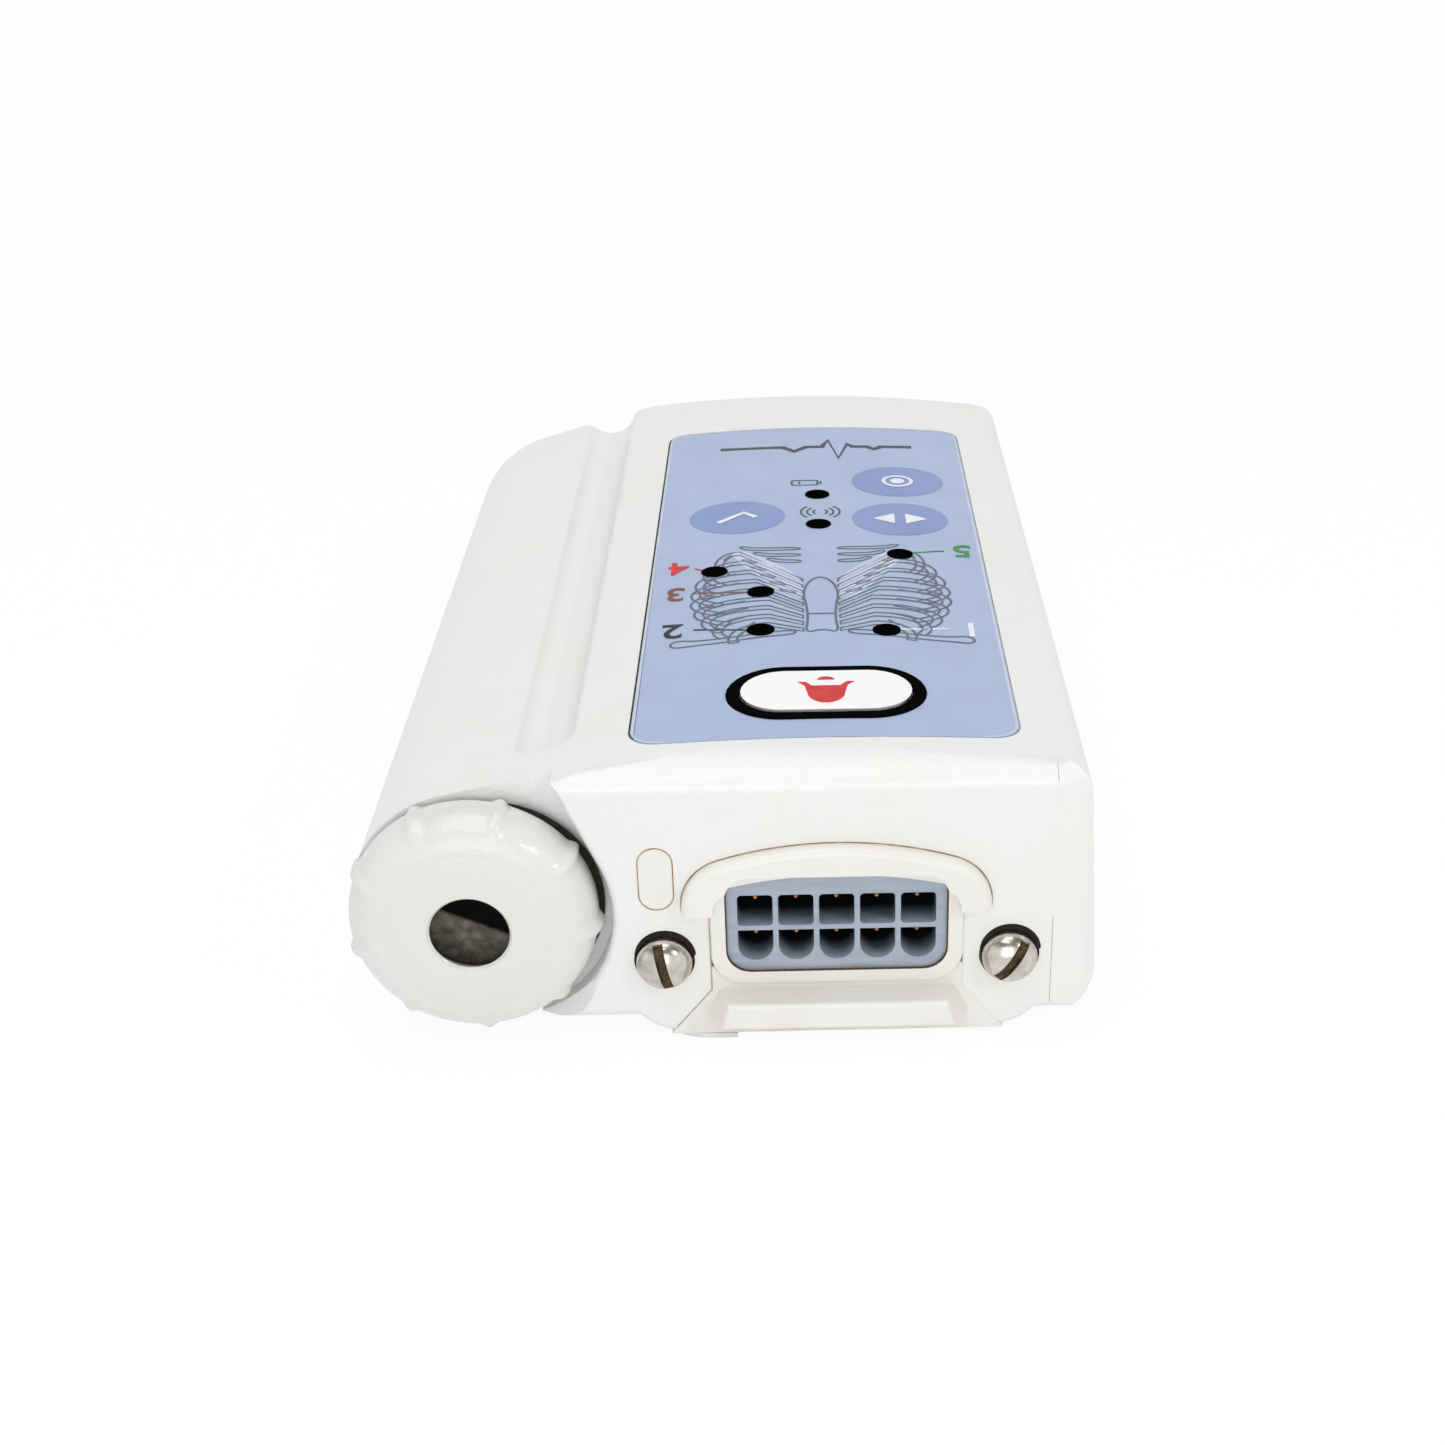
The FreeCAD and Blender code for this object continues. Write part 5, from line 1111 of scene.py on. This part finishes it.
# Name, places, closed or not, radius and finish.
BEADS = [
    ("dirt_hood", on_wall(arched_line(*HOOD_LINE)), False, 0.07, "seam_stain"),
    ("dirt_plug", on_wall(rounded_box(*PLUG_LINE)), True, 0.07, "seam_stain"),
    ("dirt_insert", on_wall(rounded_box(*INSERT_LINE), INSERT_LINE_Y), True, 0.13, "dried_dirt"),
    ("dirt_collar", on_wall(collar), False, 0.05, "seam_stain"),
    ("dirt_bezel_left", on_wall(bezel_left, BEZEL_Y), False, 0.1, "seam_pale"),
    ("fill_bezel_right", on_wall(BEZEL_EDGE, BEZEL_Y), False, 0.1, "bezel_abs"),
    ("fill_cover_seam", cover_seam, False, 0.11, "case_abs"),
    ("dust_cover_seam", on_wall(cover_dust, BEZEL_Y), False, 0.05, "seam_grey"),
]
for bead in BEADS:
    seam(*bead)

film_left = FILM_X - FILM_HALF + FILM_DIRT_NEAR
film_side = [(x, y) for x, y in film_edge(FILM_DIRT_OUT) if x < film_left and y < FILM_DIRT_END]
lines("dirt_film_sides", [(film_side, False)], FILM_DIRT_WIDTH, "dried_dirt", FLUSH)

for side, (sign, turn) in SCREW_SIDES.items():
    packed = bar(SLOT_DIRT_LENGTH, SLOT_DIRT_WIDTH, SLOT_FLOOR, SLOT_DIRT_TOP, turn)
    stand_at(packed, sign * SCREW_X, SCREW_SEAT, SCREW_Z)
    piece_of("dirt_slot_" + side, packed, "case", "dried_dirt")
# Painted shadow: a near-black crescent in the hole over each screw head.
for side, (sign, turn) in SCREW_SIDES.items():
    wall_plate("shadow_well_" + side, crescent(sign * SCREW_X, SCREW_Z, *SCREW_SHADOW), SCREW_SHADOW_DEPTH,
               "shadow_black")
# Painted shadow: a near-black crescent in the gap beside the cap's rim.
wall_plate("shadow_cap_pocket", crescent(CAP_X, CAP_Z, *POCKET_SHADOW),
           (CAP_SEAT - POCKET_SHADOW_THICK, CAP_SEAT), "shadow_black")


# Floor, light and camera

def floor_piece():
    """A white floor that keeps the object's soft shadow."""
    build = bmesh.new()
    bmesh.ops.create_grid(build, x_segments=1, y_segments=1, size=FLOOR_SIZE)
    mesh = bpy.data.meshes.new("floor")
    build.to_mesh(mesh)
    build.free()
    floor = bpy.data.objects.new("floor", mesh)
    bpy.context.scene.collection.objects.link(floor)
    material = bpy.data.materials.new("floor_paper")
    material.use_nodes = True
    tree = material.node_tree
    paper = node(tree, "BsdfDiffuse", {0: colour("#FAFAFA")})
    glow = node(tree, "Emission", {0: WHITE, 1: 1.0})
    path = node(tree, "LightPath", {})
    seen = sums(tree, "MAXIMUM", path.outputs["Is Camera Ray"], path.outputs["Is Glossy Ray"])
    seen = sums(tree, "MAXIMUM", seen, path.outputs["Is Transmission Ray"])
    share = sums(tree, "MULTIPLY", seen, FLOOR_GLOW)
    mixed = node(tree, "MixShader", {0: share, 1: paper.outputs[0], 2: glow.outputs[0]})
    tree.links.new(mixed.outputs[0], tree.nodes["Material Output"].inputs[0])
    mesh.materials.append(material)


def surroundings():
    """White behind the object, and in reflections white near the floor that dims upwards, as in a
    room."""
    world = bpy.data.worlds.new("studio")
    bpy.context.scene.world = world
    world.use_nodes = True
    tree = world.node_tree
    path = node(tree, "LightPath", {})
    seen = sums(tree, "MAXIMUM", path.outputs["Is Camera Ray"], path.outputs["Is Transmission Ray"])
    way = node(tree, "TexCoord", {}).outputs["Generated"]
    room = ramp(tree, node(tree, "SeparateXYZ", {0: way}).outputs[2], *ROOM_RISE, *ROOM_LEVELS)
    level = node(tree, "Mix", {0: path.outputs["Is Glossy Ray"], 2: SKY_LEVEL, 3: room}).outputs[0]
    background = tree.nodes["Background"]
    tree.links.new(sums(tree, "MAXIMUM", level, seen), background.inputs["Strength"])
    background.inputs["Color"].default_value = WHITE


def lights():
    """Soft light from above and in front, and two small lights that draw the highlights."""
    for name, (place, target, width, depth, power) in LIGHTS.items():
        lamp = bpy.data.lights.new(name, "AREA")
        lamp.shape = "RECTANGLE"
        lamp.size = width * MM
        lamp.size_y = depth * MM
        lamp.energy = power
        holder = bpy.data.objects.new(name, lamp)
        holder.location = spot(*place)
        aim = spot(*target) - holder.location
        holder.rotation_euler = aim.to_track_quat("-Z", "Y").to_euler()
        bpy.context.scene.collection.objects.link(holder)


def camera():
    """From the socket end and above, with the lens axis right of the middle."""
    pitch, yaw, roll = (math.radians(a) for a in (CAMERA_PITCH, CAMERA_YAW, CAMERA_ROLL))
    ahead = math.cos(pitch)
    forward = Vector((math.sin(yaw) * ahead, math.cos(yaw) * ahead, -math.sin(pitch)))
    level = Vector((math.cos(yaw), -math.sin(yaw), 0.0))
    above = level.cross(forward)
    right = math.cos(roll) * level + math.sin(roll) * above
    up = -math.sin(roll) * level + math.cos(roll) * above
    lens = bpy.data.cameras.new("camera")
    lens.sensor_width = CAMERA_SENSOR
    lens.lens = CAMERA_LENS
    lens.shift_x = CAMERA_SHIFT
    lens.clip_start = CAMERA_NEAR
    holder = bpy.data.objects.new("camera", lens)
    turn = Matrix((right, up, -forward)).transposed()
    holder.matrix_world = Matrix.Translation(spot(*CAMERA_AT)) @ turn.to_4x4()
    bpy.context.scene.collection.objects.link(holder)
    bpy.context.scene.camera = holder


floor_piece()
surroundings()
lights()
camera()
bpy.context.scene.view_settings.view_transform = "Standard"
